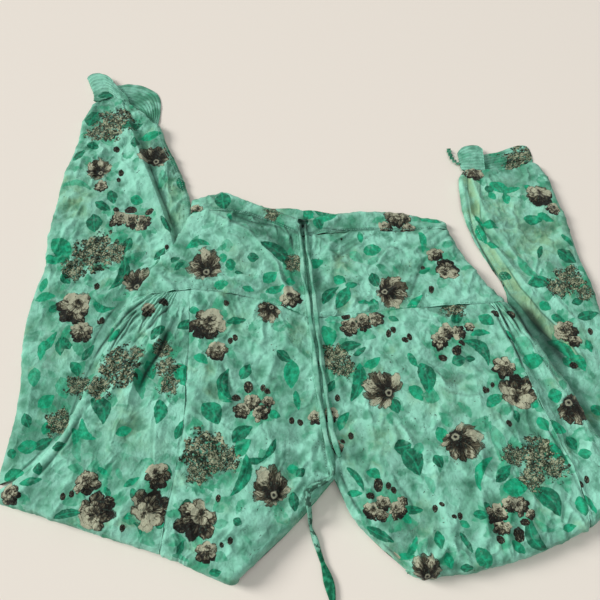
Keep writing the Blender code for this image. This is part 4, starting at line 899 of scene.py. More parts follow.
def stations_between(rows, low, high, spacing):
    """Stations whose rows lie about a spacing apart."""
    section = sections(rows, np.linspace(low, high, 60))
    at_seam = np.hypot(np.diff(section.seam_x), np.diff(section.seam_y)).sum()
    at_start = np.hypot(np.diff(section.start_x), np.diff(section.start_y)).sum()
    count = max(3, int(math.ceil(max(at_seam, at_start) / spacing)))
    return np.linspace(low, high, count + 1)


def thigh_stations(rows):
    """Stations from the yoke seam to the knee fold."""
    above = stations_between(rows, YOKE_SEAM + SEAM_STEP, CROTCH, SPACING)
    below = stations_between(rows, CROTCH, KNEE, SPACING)
    return np.concatenate([above, below[1:]])


def creased(surface, side, creases, seed):
    """The crumple and the main creases of a piece."""
    x, y = surface.points[..., 0], surface.points[..., 1]
    kind = CRUMPLINGS[surface.name.split("_")[0]]
    turn = kind.left if side == "left" else kind.right
    return kind.strength * crumple(x, y, seed, turn, kind.stretch) + crease_lift(creases, x, y)


def calmed(surface, least):
    """Less creasing where the cloth turns down over its edge."""
    return least + (1 - least) * (1 - surface.share)


def make_yoke(side, rows, seed):
    stations = stations_between(rows, WAIST_SEAM + SEAM_STEP, YOKE_SEAM - SEAM_STEP, SPACING)
    surface = cloth_surface("yoke_front_" + side, rows, stations, ALL_ZONES, SPACING)
    x, y = surface.points[..., 0], surface.points[..., 1]
    top, bottom = seam_distances(surface)
    lift = creased(surface, side, YOKE_CREASES, seed) * calmed(surface, 0.3)
    lift += pucker(top, x, seed + 20) + pucker(bottom, x, seed + 21, 0.5)
    lift += groove(top) + groove(bottom) + 0.5 * hump(bottom, 4, 3.2)
    lift += centre_seam(surface.across, y, seed)
    surface.displace(lift)
    return surface


def centre_seam(across, y, seed):
    """The felled seam down the middle of the front: a groove, then a flat ridge with ripples."""
    ripple = 0.35 * np.exp(-across / 10) * lattice_noise(y / 5, across / 12, seed + 40)
    return 0.9 * hump(across, 5, 3.6, 4) + ripple + groove(across, 0.9, 1.1)


def make_leg_front(side, rows, seed):
    surface = cloth_surface("leg_front_" + side, rows, thigh_stations(rows), ("start", "front"), SPACING,
                            knee=True)
    x, y = surface.points[..., 0], surface.points[..., 1]
    top, bottom = seam_distances(surface)
    to_side = surface.first - surface.across
    lift = creased(surface, side, THIGH_CREASES, seed)
    lift *= calmed(surface, 0.3) * np.clip(bottom / 30, 0.35, 1)
    lift += pucker(top, x, seed + 20, 0.6) + groove(top)
    lift += np.where(surface.station <= CROTCH, 1, 0.35) * centre_seam(surface.across, y, seed)
    lift += pucker(to_side, y, seed + 22, 0.6, 7) + groove(to_side, 0.5) + 0.7 * hump(to_side, 4, 2.4)
    surface.displace(lift)
    return surface


def make_side_panel(side, rows, seed):
    surface = cloth_surface("side_panel_" + side, rows, thigh_stations(rows), ("side",), SPACING * 0.8,
                            knee=True)
    top, bottom = seam_distances(surface)
    lift = creased(surface, side, THIGH_CREASES, seed) + gathers(surface, side, top)
    lift *= calmed(surface, 0.35) * np.clip(bottom / 30, 0.35, 1)
    lift += groove(top, 0.8) + groove(surface.across - surface.first, 0.5)
    surface.displace(lift)
    return surface


def make_casing(side, rows, seed):
    stations = stations_between(rows, WAIST_TOP, WAIST_SEAM - SEAM_STEP, SPACING * 0.8)
    hole = hole_half_width(stations)
    surface = cloth_surface("waistband_front_" + side, rows, stations, ALL_ZONES, SPACING,
                            trim=np.maximum(hole, SEAM_GAP / 2))
    x = surface.points[..., 0]
    top, bottom = seam_distances(surface)
    lift = creased(surface, side, YOKE_CREASES, seed) * calmed(surface, 0.3)
    lift += 0.9 * np.sin(math.pi * np.clip(top / (top + bottom), 0, 1))
    lift += pucker(bottom, x, seed + 21, 0.8) + pucker(top, x, seed + 22, 0.9, 12)
    lift += groove(bottom) - 0.7 * hump(bottom, TOPSTITCH, 1.1)
    lift += 1.7 * hump(surface.across, hole[:, None] + 2.4, 2.6)
    surface.displace(lift)
    # Painted shade along the groove of the topstitched seam at the bottom of the casing.
    surface.wear = surface.wear - 5.0 * hump(bottom, 3.0, 1.5)
    surface.points[..., 2] -= 2.4 * hump(top, 0, 2.4)
    surface.points[..., 1] += 0.8 * lattice_noise(x / 9, x * 0 + 0.5, seed) * np.exp(-top / 6)
    return surface


def hole_half_width(stations):
    """How far the drawstring's hole reaches from the middle, one value for each row."""
    beside_hole = np.clip(np.abs(stations - HOLE_ROW) / HOLE_ROWS, 0, 1)
    return HOLE_HALF_WIDTH * np.sqrt(1 - beside_hole ** 2)


def make_lower_leg(side, rows, seed):
    stations = stations_between(rows, 0, len(rows) - 1, LOWER_SPACING)
    surface = cloth_surface("lower_leg_" + side, rows, stations, ALL_ZONES, LOWER_SPACING, trim=0.0)
    x, y = surface.points[..., 0], surface.points[..., 1]
    top = seam_distances(surface)[0]
    lift = creased(surface, side, LOWER_CREASES, seed)
    thigh_above = np.clip((y - (20 if side == "right" else -10)) / 60, 0.25, 1)
    lift *= calmed(surface, 0.35) * np.where(surface.station > 5, thigh_above + 0.3, 1)
    lift += pucker(top, x + y, seed + 20, 1.1, 12) + groove(top, 0.7)
    lift += 0.5 * hump(surface.across, 6, 2.2) * (surface.station < 7)
    surface.displace(lift)
    return surface


def make_back_casing():
    """The back of the casing, flat on the surface, which peeps over the front at the middle."""
    halves = []
    for rows in (FRONT_LEFT, FRONT_RIGHT):
        section = sections(rows, [WAIST_TOP, WAIST_SEAM - SEAM_STEP])
        across = column_blocks(section, ALL_ZONES, 2.4, np.full((2, 1), SEAM_GAP))[0]
        halves.append(np.stack(place(section, across), axis=2))
    upper, lower = np.concatenate([halves[0][:, ::-1], halves[1][:, 1:]], axis=1)
    peep = PEEP_HEIGHT * hump(upper[:, 0], PEEP_X, PEEP_WIDTH) - 1.0
    upper = upper + np.stack([0 * peep, peep], axis=1)
    rise = np.linspace(0, 1, PEEP_ROWS)[:, None]
    x, y = np.moveaxis(lower + (upper - lower) * rise[..., None], 2, 0)
    height = 3.6 + 1.6 * hump(x, PEEP_X, 40) * rise
    height = height + 0.5 * lattice_noise(x / 7, y / 20, 61) * rise - 1.4 * rise ** 12
    surface = Surface("waistband_back", np.stack([x, y, height], axis=2), x + 7.0, y + 31.0)
    # Painted shade inside the drawstring's hole.
    surface.wear = -11 * np.exp(-(((x - 4) / 12) ** 2 + ((y - 106) / 9) ** 2) ** 2)
    return surface


def smooth_route(points, spacing):
    """Points at an even spacing along a smooth curve through a route's own points."""
    knots = np.array(points, float)
    dense = []
    for k in range(len(knots) - 1):
        before, here = knots[max(k - 1, 0)], knots[k]
        there, after = knots[k + 1], knots[min(k + 2, len(knots) - 1)]
        dense += [smooth(before, here, there, after, step / 16) for step in range(16)]
    dense = np.array(dense + [knots[-1]])
    lengths = np.concatenate([[0], np.cumsum(np.linalg.norm(np.diff(dense, axis=0), axis=1))])
    count = max(2, round(lengths[-1] / spacing))
    goals = np.linspace(0, lengths[-1], count + 1)
    return np.stack([np.interp(goals, lengths, dense[:, k]) for k in range(dense.shape[1])], axis=1)


def make_cuff(side, band, seed):
    """A cuff band with rows of stitching, along the surface, round its fold and back on top."""
    seam = smooth_route([(c.seam_x, c.seam_y, c.height) for c in band], CUFF_SPACING)
    free = smooth_route([(c.free_x, c.free_y, c.height) for c in band], 1.0)
    share = np.linspace(0, 1, len(seam))
    free = np.stack([np.interp(share, np.linspace(0, 1, len(free)), free[:, k]) for k in range(3)], axis=1)
    level = np.linspace(0, 1, CUFF_LEVELS)[None, :, None]
    points = seam[:, None] + (free - seam)[:, None] * level
    run = np.arange(len(seam))[:, None] * CUFF_SPACING + 0 * level[..., 0]
    height = np.linalg.norm(free - seam, axis=1)[:, None] * level[..., 0]
    surface = Surface("cuff_" + side, points, run + 500 * (side == "right") + 900, height + 40)
    drift = 0.35 * lattice_noise(run / 26, height / 30, seed + 2)
    rows = 0.95 * (ridges_of(level[..., 0] * CUFF_ROWS + drift) - 0.75)
    broad = 0.7 * lattice_noise(run / 9, height / 20, seed)
    fine = 0.3 * lattice_noise(run / 3.6, height / 12, seed + 1)
    surface.displace(rows + (broad + fine))
    # Painted highlight on the stitched rows and painted shade between them.
    surface.wear = surface.wear + 2.2 * rows
    return surface


# Meshes


def shell_mesh(name, surface, thickness):
    """A closed thin shell on a surface, and its faces."""
    outer = surface.points
    inner = outer - surface.normals() * thickness
    inner[..., 2] = np.maximum(inner[..., 2], LOWEST)
    rows, columns = outer.shape[:2]
    grid = np.arange(rows * columns).reshape(rows, columns)
    quads = np.stack([grid[:-1, :-1], grid[:-1, 1:], grid[1:, 1:], grid[1:, :-1]], axis=2).reshape(-1, 4)
    rim = np.concatenate([grid[0, :-1], grid[:-1, -1], grid[-1, :0:-1], grid[:0:-1, 0]])
    after = np.roll(rim, -1)
    size = rows * columns
    sides = np.stack([rim, rim + size, after + size, after], axis=1)
    if not faces_up(outer):
        quads, sides = quads[:, ::-1], sides[:, ::-1]
    faces = np.concatenate([quads[:, ::-1], quads + size, sides])
    vertices = np.concatenate([outer.reshape(-1, 3), inner.reshape(-1, 3)])
    return mesh_object(name, vertices, faces), faces


def faces_up(points):
    """Whether rows then columns turn the way that the shells expect."""
    middle = points[points.shape[0] // 2 - 1:points.shape[0] // 2 + 1]
    k = points.shape[1] // 2
    down, across = middle[1, k] - middle[0, k], middle[0, k] - middle[0, k - 1]
    return np.cross(down, across)[2] > 0


def mesh_object(name, vertices, faces):
    mesh = bpy.data.meshes.new(name)
    mesh.vertices.add(len(vertices))
    mesh.vertices.foreach_set("co", (np.asarray(vertices) * MM).ravel())
    width = faces.shape[1]
    mesh.loops.add(faces.size)
    mesh.loops.foreach_set("vertex_index", faces.ravel().astype(np.int32))
    mesh.polygons.add(len(faces))
    mesh.polygons.foreach_set("loop_start", np.arange(0, faces.size, width, dtype=np.int32))
    mesh.polygons.foreach_set("loop_total", np.full(len(faces), width, np.int32))
    mesh.polygons.foreach_set("use_smooth", np.ones(len(faces), bool))
    mesh.update(calc_edges=True)
    thing = bpy.data.objects.new(name, mesh)
    bpy.context.scene.collection.objects.link(thing)
    return thing


def add_field(thing, name, values, domain="POINT"):
    field = thing.data.attributes.new(name, "FLOAT_VECTOR", domain)
    field.data.foreach_set("vector", np.ascontiguousarray(values, np.float32).ravel())


# The print's fields


def eye_axes():
    """Where the camera stands, and its forward, right and up directions."""
    turn = math.radians(CAMERA_ELEVATION)
    eye = np.array([0, -CAMERA_DISTANCE * math.cos(turn), CAMERA_DISTANCE * math.sin(turn)])
    forward = -eye / CAMERA_DISTANCE
    right = np.array([1.0, 0.0, 0.0])
    return eye, forward, right, np.cross(right, forward)


def pixels_of(points):
    """Where points show in the picture, and how far away they are."""
    eye, forward, right, up = eye_axes()
    offset = points - eye
    depth = offset @ forward
    scale = PICTURE_SIZE / depth
    return PICTURE_SIZE / 2 + scale * (offset @ right), PICTURE_SIZE / 2 - scale * (offset @ up), depth


def charted(surfaces):
    """Puts each bloom and leaf on the piece that shows at its pixel: {piece: (blooms, leaves)}."""
    seen = [pixels_of(surface.points.reshape(-1, 3)) for surface in surfaces]
    across, down, depth = np.concatenate(seen, axis=1)
    owner = np.repeat(np.arange(len(surfaces)), [surface.print_x.size for surface in surfaces])
    print_x = np.concatenate([surface.print_x.ravel() for surface in surfaces])
    print_y = np.concatenate([surface.print_y.ravel() for surface in surfaces])
    chart = {surface.name: ([], []) for surface in surfaces}
    for motif in BLOOMS + LEAVES:
        distance = np.hypot(across - motif.x, down - motif.y)
        near = distance < max(2.2, distance.min() + 0.5)
        best = np.flatnonzero(near)[np.argmin(depth[near])]
        size = depth[best] / PICTURE_SIZE
        which = 0 if isinstance(motif, Bloom) else 1
        chart[surfaces[owner[best]].name][which].append((motif, print_x[best], print_y[best], size))
    return chart


def scattered(surface, seed, spacing=62.0):
    """A plain repeat of blooms and leaves for a piece that hardly shows."""
    dice = np.random.default_rng(seed)
    low_x, high_x = surface.print_x.min(), surface.print_x.max()
    low_y, high_y = surface.print_y.min(), surface.print_y.max()
    blooms, leaves = [], []
    for row, y in enumerate(np.arange(low_y, high_y + spacing, spacing)):
        for x in np.arange(low_x - spacing * 0.5 * (row % 2), high_x + spacing, spacing):
            a, b = x + dice.uniform(-9, 9), y + dice.uniform(-9, 9)
            kind = int(dice.integers(0, 3))
            blooms.append((Bloom(a, b, 20, kind, dice.uniform(0, 360)), a, b, PLAIN_SIZE))
            for turn in dice.uniform(0, 360, 4):
                c, d = a + 34 * math.cos(turn), b + 34 * math.sin(turn)
                leaves.append((Leaf(c, d, 20, 10, math.degrees(turn), 0.1), c, d, PLAIN_SIZE))
    return blooms, leaves


def bloom_corners(flat, faces, blooms):
    """For each face corner, its place within the bloom nearest to its face, and that bloom's kind and seed.

    A piece without a bloom gets one that is far away.
    """
    blooms = blooms or [(Bloom(0, 0, 1, BUD, 0), 1e4, 1e4, 1.0)]
    corners = flat[faces]
    middle = corners.mean(axis=1)
    best = np.full(len(faces), 1e9)
    owner = np.zeros(len(faces), int)
    for index, (bloom, x, y, size) in enumerate(blooms):
        reach = np.hypot(middle[:, 0] - x, middle[:, 1] - y) / (bloom.radius * size)
        closer = reach < best
        best = np.where(closer, reach, best)
        owner = np.where(closer, index, owner)
    facts = np.array([(x, y, bloom.radius * size, math.radians(bloom.turn), bloom.kind,
                       (bloom.x * 0.137 + bloom.y * 0.071) % 1.0) for bloom, x, y, size in blooms])
    x, y, radius, turn, kind, seed = facts[owner].T[..., None]
    dx, dy = (corners[..., 0] - x) / radius, (corners[..., 1] - y) / radius
    u = dx * np.cos(turn) + dy * np.sin(turn)
    v = dy * np.cos(turn) - dx * np.sin(turn)
    place_in = np.stack([u, v, 0 * u], axis=2).clip(-4, 4)
    what = np.stack([kind + 0 * u, seed + 0 * u, 0 * u], axis=2)
    return place_in, what


def shade_amounts(across, down):
    """How much painted shade the closed folds and gaps get at each place in the picture, and how deep they
    lie there.
    """
    dark, depth = np.zeros(across.shape), np.zeros(across.shape)
    for shade in SHADES:
        distance, passed, _ = route_distance(across, down, shade.route)
        ends = np.clip(1.6 * np.minimum(passed, len(shade.route) - 1 - passed), 0, 1)
        closeness = np.exp(-(distance / (shade.half * (0.5 + 0.5 * ends))) ** 2.4) * (0.3 + 0.7 * ends)
        dark = np.maximum(dark, shade.dark * closeness)
        depth = np.maximum(depth, shade.depth * np.exp(-(distance / (1.5 * shade.half)) ** 2) * ends)
    return dark, depth


def strip_margin(across, down):
    """How far inside the bound strip each place in the picture lies."""
    distance, passed, _ = route_distance(across, down, STRIP)
    half = np.interp(passed, np.arange(len(STRIP)), [stop.half for stop in STRIP])
    return np.maximum(half - distance, FAR_OUTSIDE)


def wash_fields(surface):
    """How much moss, depth and paleness each point takes from the washes, one column each. The depth is
    partly painted shade, and the paleness partly painted highlight.
    """
    across, down, _ = pixels_of(surface.points.reshape(-1, 3))
    channels = []
    for washes in (MOSS_WASHES, DEEP_DYE_AND_SHADE_WASHES, PALE_DYE_AND_HIGHLIGHT_WASHES):
        amount = np.zeros(len(across))
        for wash in washes:
            reach = np.hypot(across - wash.x, down - wash.y) / wash.radius
            amount = np.maximum(amount, wash.strength * np.exp(-reach ** 2.6))
        channels.append(amount)
    return np.stack(channels, axis=1)


def fold_fields(surface):
    """The shade of the closed folds, and how far inside the bound strip each point lies."""
    across, down, _ = pixels_of(surface.points.reshape(-1, 3))
    bound = surface.name == "lower_leg_right"
    margin = strip_margin(across, down) if bound else np.full(across.shape, FAR_OUTSIDE)
    return np.stack([shade_amounts(across, down)[0], margin, 0 * margin], axis=1)


def foliage_around(blooms, seed):
    """Pale leaves that spread from under the larger blooms."""
    dice = np.random.default_rng(seed)
    leaves = []
    for bloom, x, y, size in blooms:
        if bloom.radius < 9:
            continue
        for turn in dice.uniform(0, 2 * math.pi, 5):
            reach = bloom.radius * size * dice.uniform(0.95, 1.5)
            length = dice.uniform(11, 19)
            where = x + reach * math.cos(turn), y + reach * math.sin(turn)
            angle = math.degrees(turn) + dice.uniform(-50, 50)
            width = length * dice.uniform(0.4, 0.65)
            leaf = Leaf(*where, length, width, angle, dice.uniform(-0.2, 0.2))
            leaves.append((leaf, *where, PLAIN_SIZE))
    return leaves


def leaf_field(surface, leaves):
    """For each point, how far outside the nearest leaf it is, its offset from the midrib, and its tone.

    Below 0 the point is inside the leaf.
    """
    x, y = surface.print_x, surface.print_y
    best = np.full(x.shape, 12.0)
    rib = np.full(x.shape, 5.0)
    tone = np.zeros(x.shape)
    for leaf, lx, ly, size in leaves:
        turn = math.radians(leaf.angle)
        length, half = LEAF_GAIN * leaf.length * size, LEAF_GAIN * leaf.width * size / 2
        dx, dy = x - lx, y - ly
        along = (dx * math.cos(turn) + dy * math.sin(turn)) / length
        across = -dx * math.sin(turn) + dy * math.cos(turn)
        across = across - leaf.bend * length * (1 - 4 * along ** 2) + leaf.bend * length * 0.5
        inside = np.clip(along + 0.5, 0, 1)
        profile = half * np.sin(math.pi * inside ** 0.85) ** 0.8
        beyond = np.maximum(np.abs(along) - 0.5, 0) * length
        outside = np.hypot(np.maximum(np.abs(across) - profile, 0), beyond)
        distance = np.where((beyond <= 0) & (np.abs(across) < profile), np.abs(across) - profile, outside)
        closer = distance < best
        best = np.where(closer, distance, best)
        rib = np.where(closer, across / max(half, 1), rib)
        tone = np.where(closer, (leaf.x * 0.173 + leaf.y * 0.291) % 1.0, tone)
    return np.stack([best, rib, tone], axis=2).reshape(-1, 3)


# Materials


def dye(name):
    """A named colour as the shader takes it."""
    values = []
    for value in COLOURS[name]:
        c = value / 255
        values.append(c / 12.92 if c <= 0.04045 else ((c + 0.055) / 1.055) ** 2.4)
    return (*values, 1.0)


class Graph:
    """Adds nodes to a node tree, one call each."""

    def __init__(self, tree):
        self.tree = tree

    def node(self, kind, inputs=(), **settings):
        """A node with its settings, its inputs by name or number, each a value or another's output."""
        node = self.tree.nodes.new("ShaderNode" + kind)
        for name, value in settings.items():
            setattr(node, name, value)
        for name, value in dict(inputs).items():
            if isinstance(value, bpy.types.NodeSocket):
                self.tree.links.new(value, node.inputs[name])
            else:
                node.inputs[name].default_value = value
        return node

    def math(self, operation, *values):
        return self.node("Math", enumerate(values), operation=operation).outputs[0]

    add = partialmethod(math, "ADD")
    sub = partialmethod(math, "SUBTRACT")
    mul = partialmethod(math, "MULTIPLY")
    muladd = partialmethod(math, "MULTIPLY_ADD")
    div = partialmethod(math, "DIVIDE")
    abs = partialmethod(math, "ABSOLUTE")
    max = partialmethod(math, "MAXIMUM")
    min = partialmethod(math, "MINIMUM")
    power = partialmethod(math, "POWER")
    fract = partialmethod(math, "FRACT")
    floor = partialmethod(math, "FLOOR")

    def vector_math(self, operation, *values):
        return self.node("VectorMath", enumerate(values), operation=operation)

    def step(self, value, low, high, out_low=0.0, out_high=1.0):
        """From out_low to out_high, smoothly, while a value goes from low to high."""
        inputs = enumerate((value, low, high, out_low, out_high))
        return self.node("MapRange", inputs, interpolation_type="SMOOTHSTEP").outputs[0]

    def mix(self, share, low, high):
        return self.node("Mix", {0: share, 6: low, 7: high}, data_type="RGBA").outputs[2]

    def layer(self, colour, share, name):
        """A share of a named colour over another."""
        return self.mix(share, colour, dye(name))

    def join(self, x, y, z=0.0):
        return self.node("CombineXYZ", enumerate((x, y, z))).outputs[0]

    def split(self, vector):
        return tuple(self.node("SeparateXYZ", {0: vector}).outputs)

    def field(self, name):
        return self.node("Attribute", attribute_name=name).outputs["Vector"]

    def noise_node(self, vector, scale, detail, roughness):
        inputs = {"Vector": vector, "Scale": scale, "Detail": detail, "Roughness": roughness}
        return self.node("TexNoise", inputs)

    def noise(self, vector, scale, detail=2.0, roughness=0.5):
        return self.noise_node(vector, scale, detail, roughness).outputs[0]

    def warp(self, vector, scale, amount):
        """Places shaken by up to half an amount each way."""
        shaken = self.noise_node(vector, scale, 1.0, 0.5).outputs[1]
        back = self.vector_math("ADD", vector, (-amount / 2, -amount / 2, 0)).outputs[0]
        return self.vector_math("MULTIPLY_ADD", shaken, (amount, amount, 0), back).outputs[0]

    def cells(self, vector, scale, randomness=1.0):
        """Distance, random value and middle of the nearest cell."""
        inputs = {"Vector": vector, "Scale": scale, "Randomness": randomness}
        node = self.node("TexVoronoi", inputs, voronoi_dimensions="2D")
        return node.outputs["Distance"], self.split(node.outputs["Color"])[0], node.outputs["Position"]

    def random(self, x, y):
        inputs = {"Vector": self.join(x, y)}
        return self.node("TexWhiteNoise", inputs, noise_dimensions="2D").outputs["Value"]

    def length(self, vector):
        return self.vector_math("LENGTH", vector).outputs["Value"]


def petal_colour(g, light, dark="line", middle="petal_mid", pale="petal"):
    """From dark line through brown to pale petal."""
    low = g.mix(g.step(light, 0.0, 0.45), dye(dark), dye(middle))
    return g.layer(low, g.step(light, 0.4, 0.95), pale)


def anemone(g, u, v, seed):
    """An open bloom with long pointed petals round a centre that sits low in it."""
    wobble = g.sub(g.noise(g.join(u, v, seed), 2.2), 0.5)
    y = g.add(v, 0.42)
    reach = g.length(g.join(u, y))
    turn = g.muladd(wobble, 0.8, g.math("ARCTAN2", y, u))
    upward = g.div(y, g.max(reach, 0.02))
    phase = g.add(g.mul(turn, PETALS / (2 * math.pi)), g.mul(seed, 7.0))
    streak = g.noise(g.join(g.mul(turn, 7.0), g.mul(reach, 1.8), seed), 2.8, 2.0)
    ragged = g.muladd(g.noise(g.join(u, v, seed), 9.0), 0.5, -0.25)
    layers = []
    for shift, scale, width in ((0.0, 1.0, 0.8), (0.5, 0.95, 1.0)):
        moved = g.add(phase, shift)
        off = g.abs(g.muladd(g.fract(moved), 2.0, -1.0))
        luck = g.random(g.floor(moved), seed)
        length = g.muladd(upward, 0.46 * scale, g.muladd(luck, 0.36, 0.58 * scale))
        share = g.min(g.div(reach, length), 1.0)
        bulge = g.math("SINE", g.mul(g.power(share, 1.1), math.pi))
        half = g.mul(g.power(g.max(bulge, 0.0), 0.7), width)
        margin = g.add(g.sub(half, off), ragged)
        cover = g.step(margin, 0.0, 0.1)
        light = g.add(g.step(share, 0.15, 0.8, -0.3, 0.65), g.muladd(streak, 2.6, -1.3))
        light = g.sub(light, g.step(margin, 0.34, 0.04, 0.0, 0.75))
        light = g.add(light, g.muladd(luck, 0.7, -0.2))
        layers.append((cover, light))
    front = petal_colour(g, layers[0][1])
    back = petal_colour(g, g.muladd(layers[1][1], 0.5, -0.12))
    colour = g.mix(layers[0][0], back, front)
    heart = g.step(g.muladd(wobble, 0.25, reach), 0.34, 0.18)
    colour = g.layer(colour, heart, "line")
    ring = g.abs(g.sub(g.muladd(ragged, 0.22, reach), 0.11))
    colour = g.layer(colour, g.step(ring, 0.06, 0.01, 0.0, 0.65), "petal")
    return colour, g.max(g.max(layers[0][0], layers[1][0]), heart)


def rose(g, u, v, seed):
    """A full bloom: rings of rounded petals, each over the one outside it."""
    bent_x = g.muladd(g.sub(g.noise(g.join(u, v, seed), 1.7, 3.0), 0.5), 0.6, u)
    bent_y = g.muladd(g.sub(g.noise(g.join(v, u, seed), 1.7, 3.0), 0.5), 0.6, v)
    colour, whole = None, None
    for radius, petals, move_x, move_y, lift in ROSE_RINGS:
        x, y = g.sub(bent_x, move_x), g.sub(bent_y, move_y)
        reach = g.length(g.join(x, y))
        turn = g.math("ARCTAN2", y, x)
        phase = g.muladd(turn, petals / (2 * math.pi), g.mul(seed, 5.0 + petals))
        off = g.abs(g.muladd(g.fract(phase), 2.0, -1.0))
        luck = g.random(g.floor(phase), g.add(seed, radius))
        edge = g.mul(g.muladd(luck, 0.2, 0.82), radius)
        edge = g.mul(edge, g.muladd(g.power(off, 2.4), -0.2, 1.0))
        margin = g.div(g.sub(edge, reach), radius)
        streak = g.noise(g.join(g.mul(turn, 4.0), g.mul(reach, 1.6), seed), 2.8, 2.0)
        light = g.sub(g.step(margin, 0.62, 0.16, 0.0, 0.72), g.step(margin, 0.12, 0.0, 0.0, 0.75))
        light = g.sub(light, g.step(off, 0.72, 0.97, 0.0, 0.6))
        light = g.muladd(g.muladd(x, 0.45, y), 0.75, light)
        light = g.add(light, g.muladd(luck, 0.8, lift - 0.32))
        light = g.muladd(g.sub(streak, 0.5), 2.2, light)
        cover = g.step(margin, 0.0, 0.05)
        shown = petal_colour(g, light)
        colour = shown if colour is None else g.mix(cover, colour, shown)
        whole = cover if whole is None else g.max(whole, cover)
    return colour, whole


def spray(g, u, v, seed):
    """A cluster of tiny florets, dense in the middle and loose at its edge."""
    shift = g.join(g.mul(seed, 17.0), g.mul(seed, 9.0))
    moved = g.vector_math("ADD", g.join(u, v), shift).outputs[0]
    distance, luck, middle = g.cells(moved, 14.0)
    lobes = g.sub(g.noise(middle, 1.9, 1.0), 0.5)
    offset = g.vector_math("SUBTRACT", middle, shift).outputs[0]
    reach = g.muladd(lobes, 1.5, g.length(offset))
    loose = g.muladd(luck, 0.3, reach)
    patch = g.noise(middle, 2.6, 1.0)
    light = g.muladd(luck, 1.1, g.muladd(patch, 2.4, -1.3))
    light = g.sub(light, g.step(distance, 0.3, 0.65, 0.0, 0.35))
    grain = g.noise(g.join(u, v, seed), 17.0, 2.0)
    light = g.muladd(g.sub(grain, 0.5), 2.2, light)
    cover = g.mul(g.step(loose, 1.04, 0.96), g.step(g.muladd(patch, 0.5, luck), 0.2, 0.42, 0.25, 1.0))
    colour = petal_colour(g, light, "floret_dark", "floret_mid", "floret")
    return colour, g.mul(cover, g.step(distance, 0.9, 0.6, 0.3, 1.0))


def bud(g, u, v, seed):
    """A small dark bud or berry."""
    wobble = g.sub(g.noise(g.join(u, v, seed), 1.8), 0.5)
    reach = g.length(g.join(g.mul(u, 1.45), v))
    cover = g.step(g.muladd(wobble, 0.5, reach), 1.02, 0.9)
    glint = g.noise(g.join(g.mul(u, 2.4), v, seed), 2.6, 1.0)
    return petal_colour(g, g.step(glint, 0.5, 0.78, 0.02, 0.75)), cover


def ground_colour(g, cloth):
    """The mint ground with its washed patches, pale foliage and faint speckle. Its deep and pale washes are
    partly painted shade and painted highlight.
    """
    moss, deep, pale = g.split(g.field("wash"))
    broad = g.step(g.noise(cloth, 0.017, 4.0, 0.6), 0.36, 0.64)
    colour = g.mix(broad, dye("mint"), dye("shallow"))
    patches = g.noise(cloth, 0.024, 3.0, 0.6)
    green = g.max(g.step(patches, 0.54, 0.74, 0.0, 0.6), g.mul(moss, 0.75))
    green = g.mul(green, g.step(g.noise(cloth, 0.07, 3.0, 0.6), 0.3, 0.55, 0.45, 1.0))
    colour = g.layer(colour, green, "moss")
    shaken = g.warp(cloth, 0.05, 30.0)
    # Darker patches: random dye, and the deep washes, which are partly painted shade
    shade = g.max(g.step(g.noise(shaken, 0.035, 3.0, 0.6), 0.48, 0.72, 0.0, 0.6), g.mul(deep, 0.85))
    colour = g.layer(colour, shade, "deep")
    worn = g.step(g.noise(cloth, 0.03, 3.0, 0.6), 0.5, 0.7, 0.0, 0.7)
    colour = g.layer(colour, worn, "grey")
    # The pale washes: partly paler dye and partly painted highlight
    colour = g.layer(colour, g.mul(pale, 0.75), "shallow")
    brushed = g.warp(g.warp(cloth, 0.05, 34.0), 0.2, 9.0)
    x, y, _ = g.split(brushed)
    slanted = g.join(g.muladd(y, 0.75, x), g.muladd(x, -0.3, y))
    distance, luck, _ = g.cells(slanted, 0.062, 1.0)
    blot = g.mul(g.step(distance, 0.46, 0.26), g.step(luck, 0.66, 0.74))
    colour = g.layer(colour, g.mul(blot, 0.4), "wash")
    lines = g.abs(g.sub(g.noise(shaken, 0.12, 2.0), 0.5))
    sketch = g.mul(g.step(lines, 0.018, 0.004), g.step(g.noise(cloth, 0.03, 1.0), 0.5, 0.6))
    colour = g.layer(colour, g.mul(sketch, 0.3), "wash")
    mottle = g.noise(g.warp(cloth, 0.05, 10.0), 0.06, 2.0, 0.45)
    colour = g.layer(colour, g.step(mottle, 0.48, 0.66, 0.0, 0.52), "shallow")
    colour = g.layer(colour, g.step(mottle, 0.5, 0.32, 0.0, 0.58), "deep")
    speckle = g.mul(g.step(g.noise(cloth, 0.55, 2.0), 0.55, 0.66), g.step(green, 0.3, 0.6))
    return g.layer(colour, g.mul(speckle, 0.16), "petal_mid")


def leaf_layer(g, cloth, colour):
    """Bright leaves over the ground, washed unevenly and lighter beside the midrib."""
    edge, rib, tone = g.split(g.field("leaf"))
    ragged = g.muladd(g.noise(cloth, 0.22, 3.0), 2.6, g.sub(edge, 1.35))
    cover = g.step(ragged, 0.35, -0.35)
    green = g.mix(g.step(tone, 0.2, 0.8), dye("leaf_deep"), dye("leaf"))
    pale = g.mul(g.step(g.noise(cloth, 0.13, 3.0, 0.6), 0.42, 0.62), g.step(tone, 0.1, 0.7, 0.35, 1.0))
    green = g.layer(green, pale, "leaf_light")
    vein = g.step(g.abs(rib), 0.16, 0.02, 0.0, 0.4)
    green = g.layer(green, vein, "leaf_light")
    fade = g.mul(g.step(tone, 0.9, 0.8, 0.5, 0.95), g.step(g.noise(cloth, 0.09, 2.0), 0.25, 0.42, 0.6, 1.0))
    return g.mix(g.mul(cover, fade), colour, green)


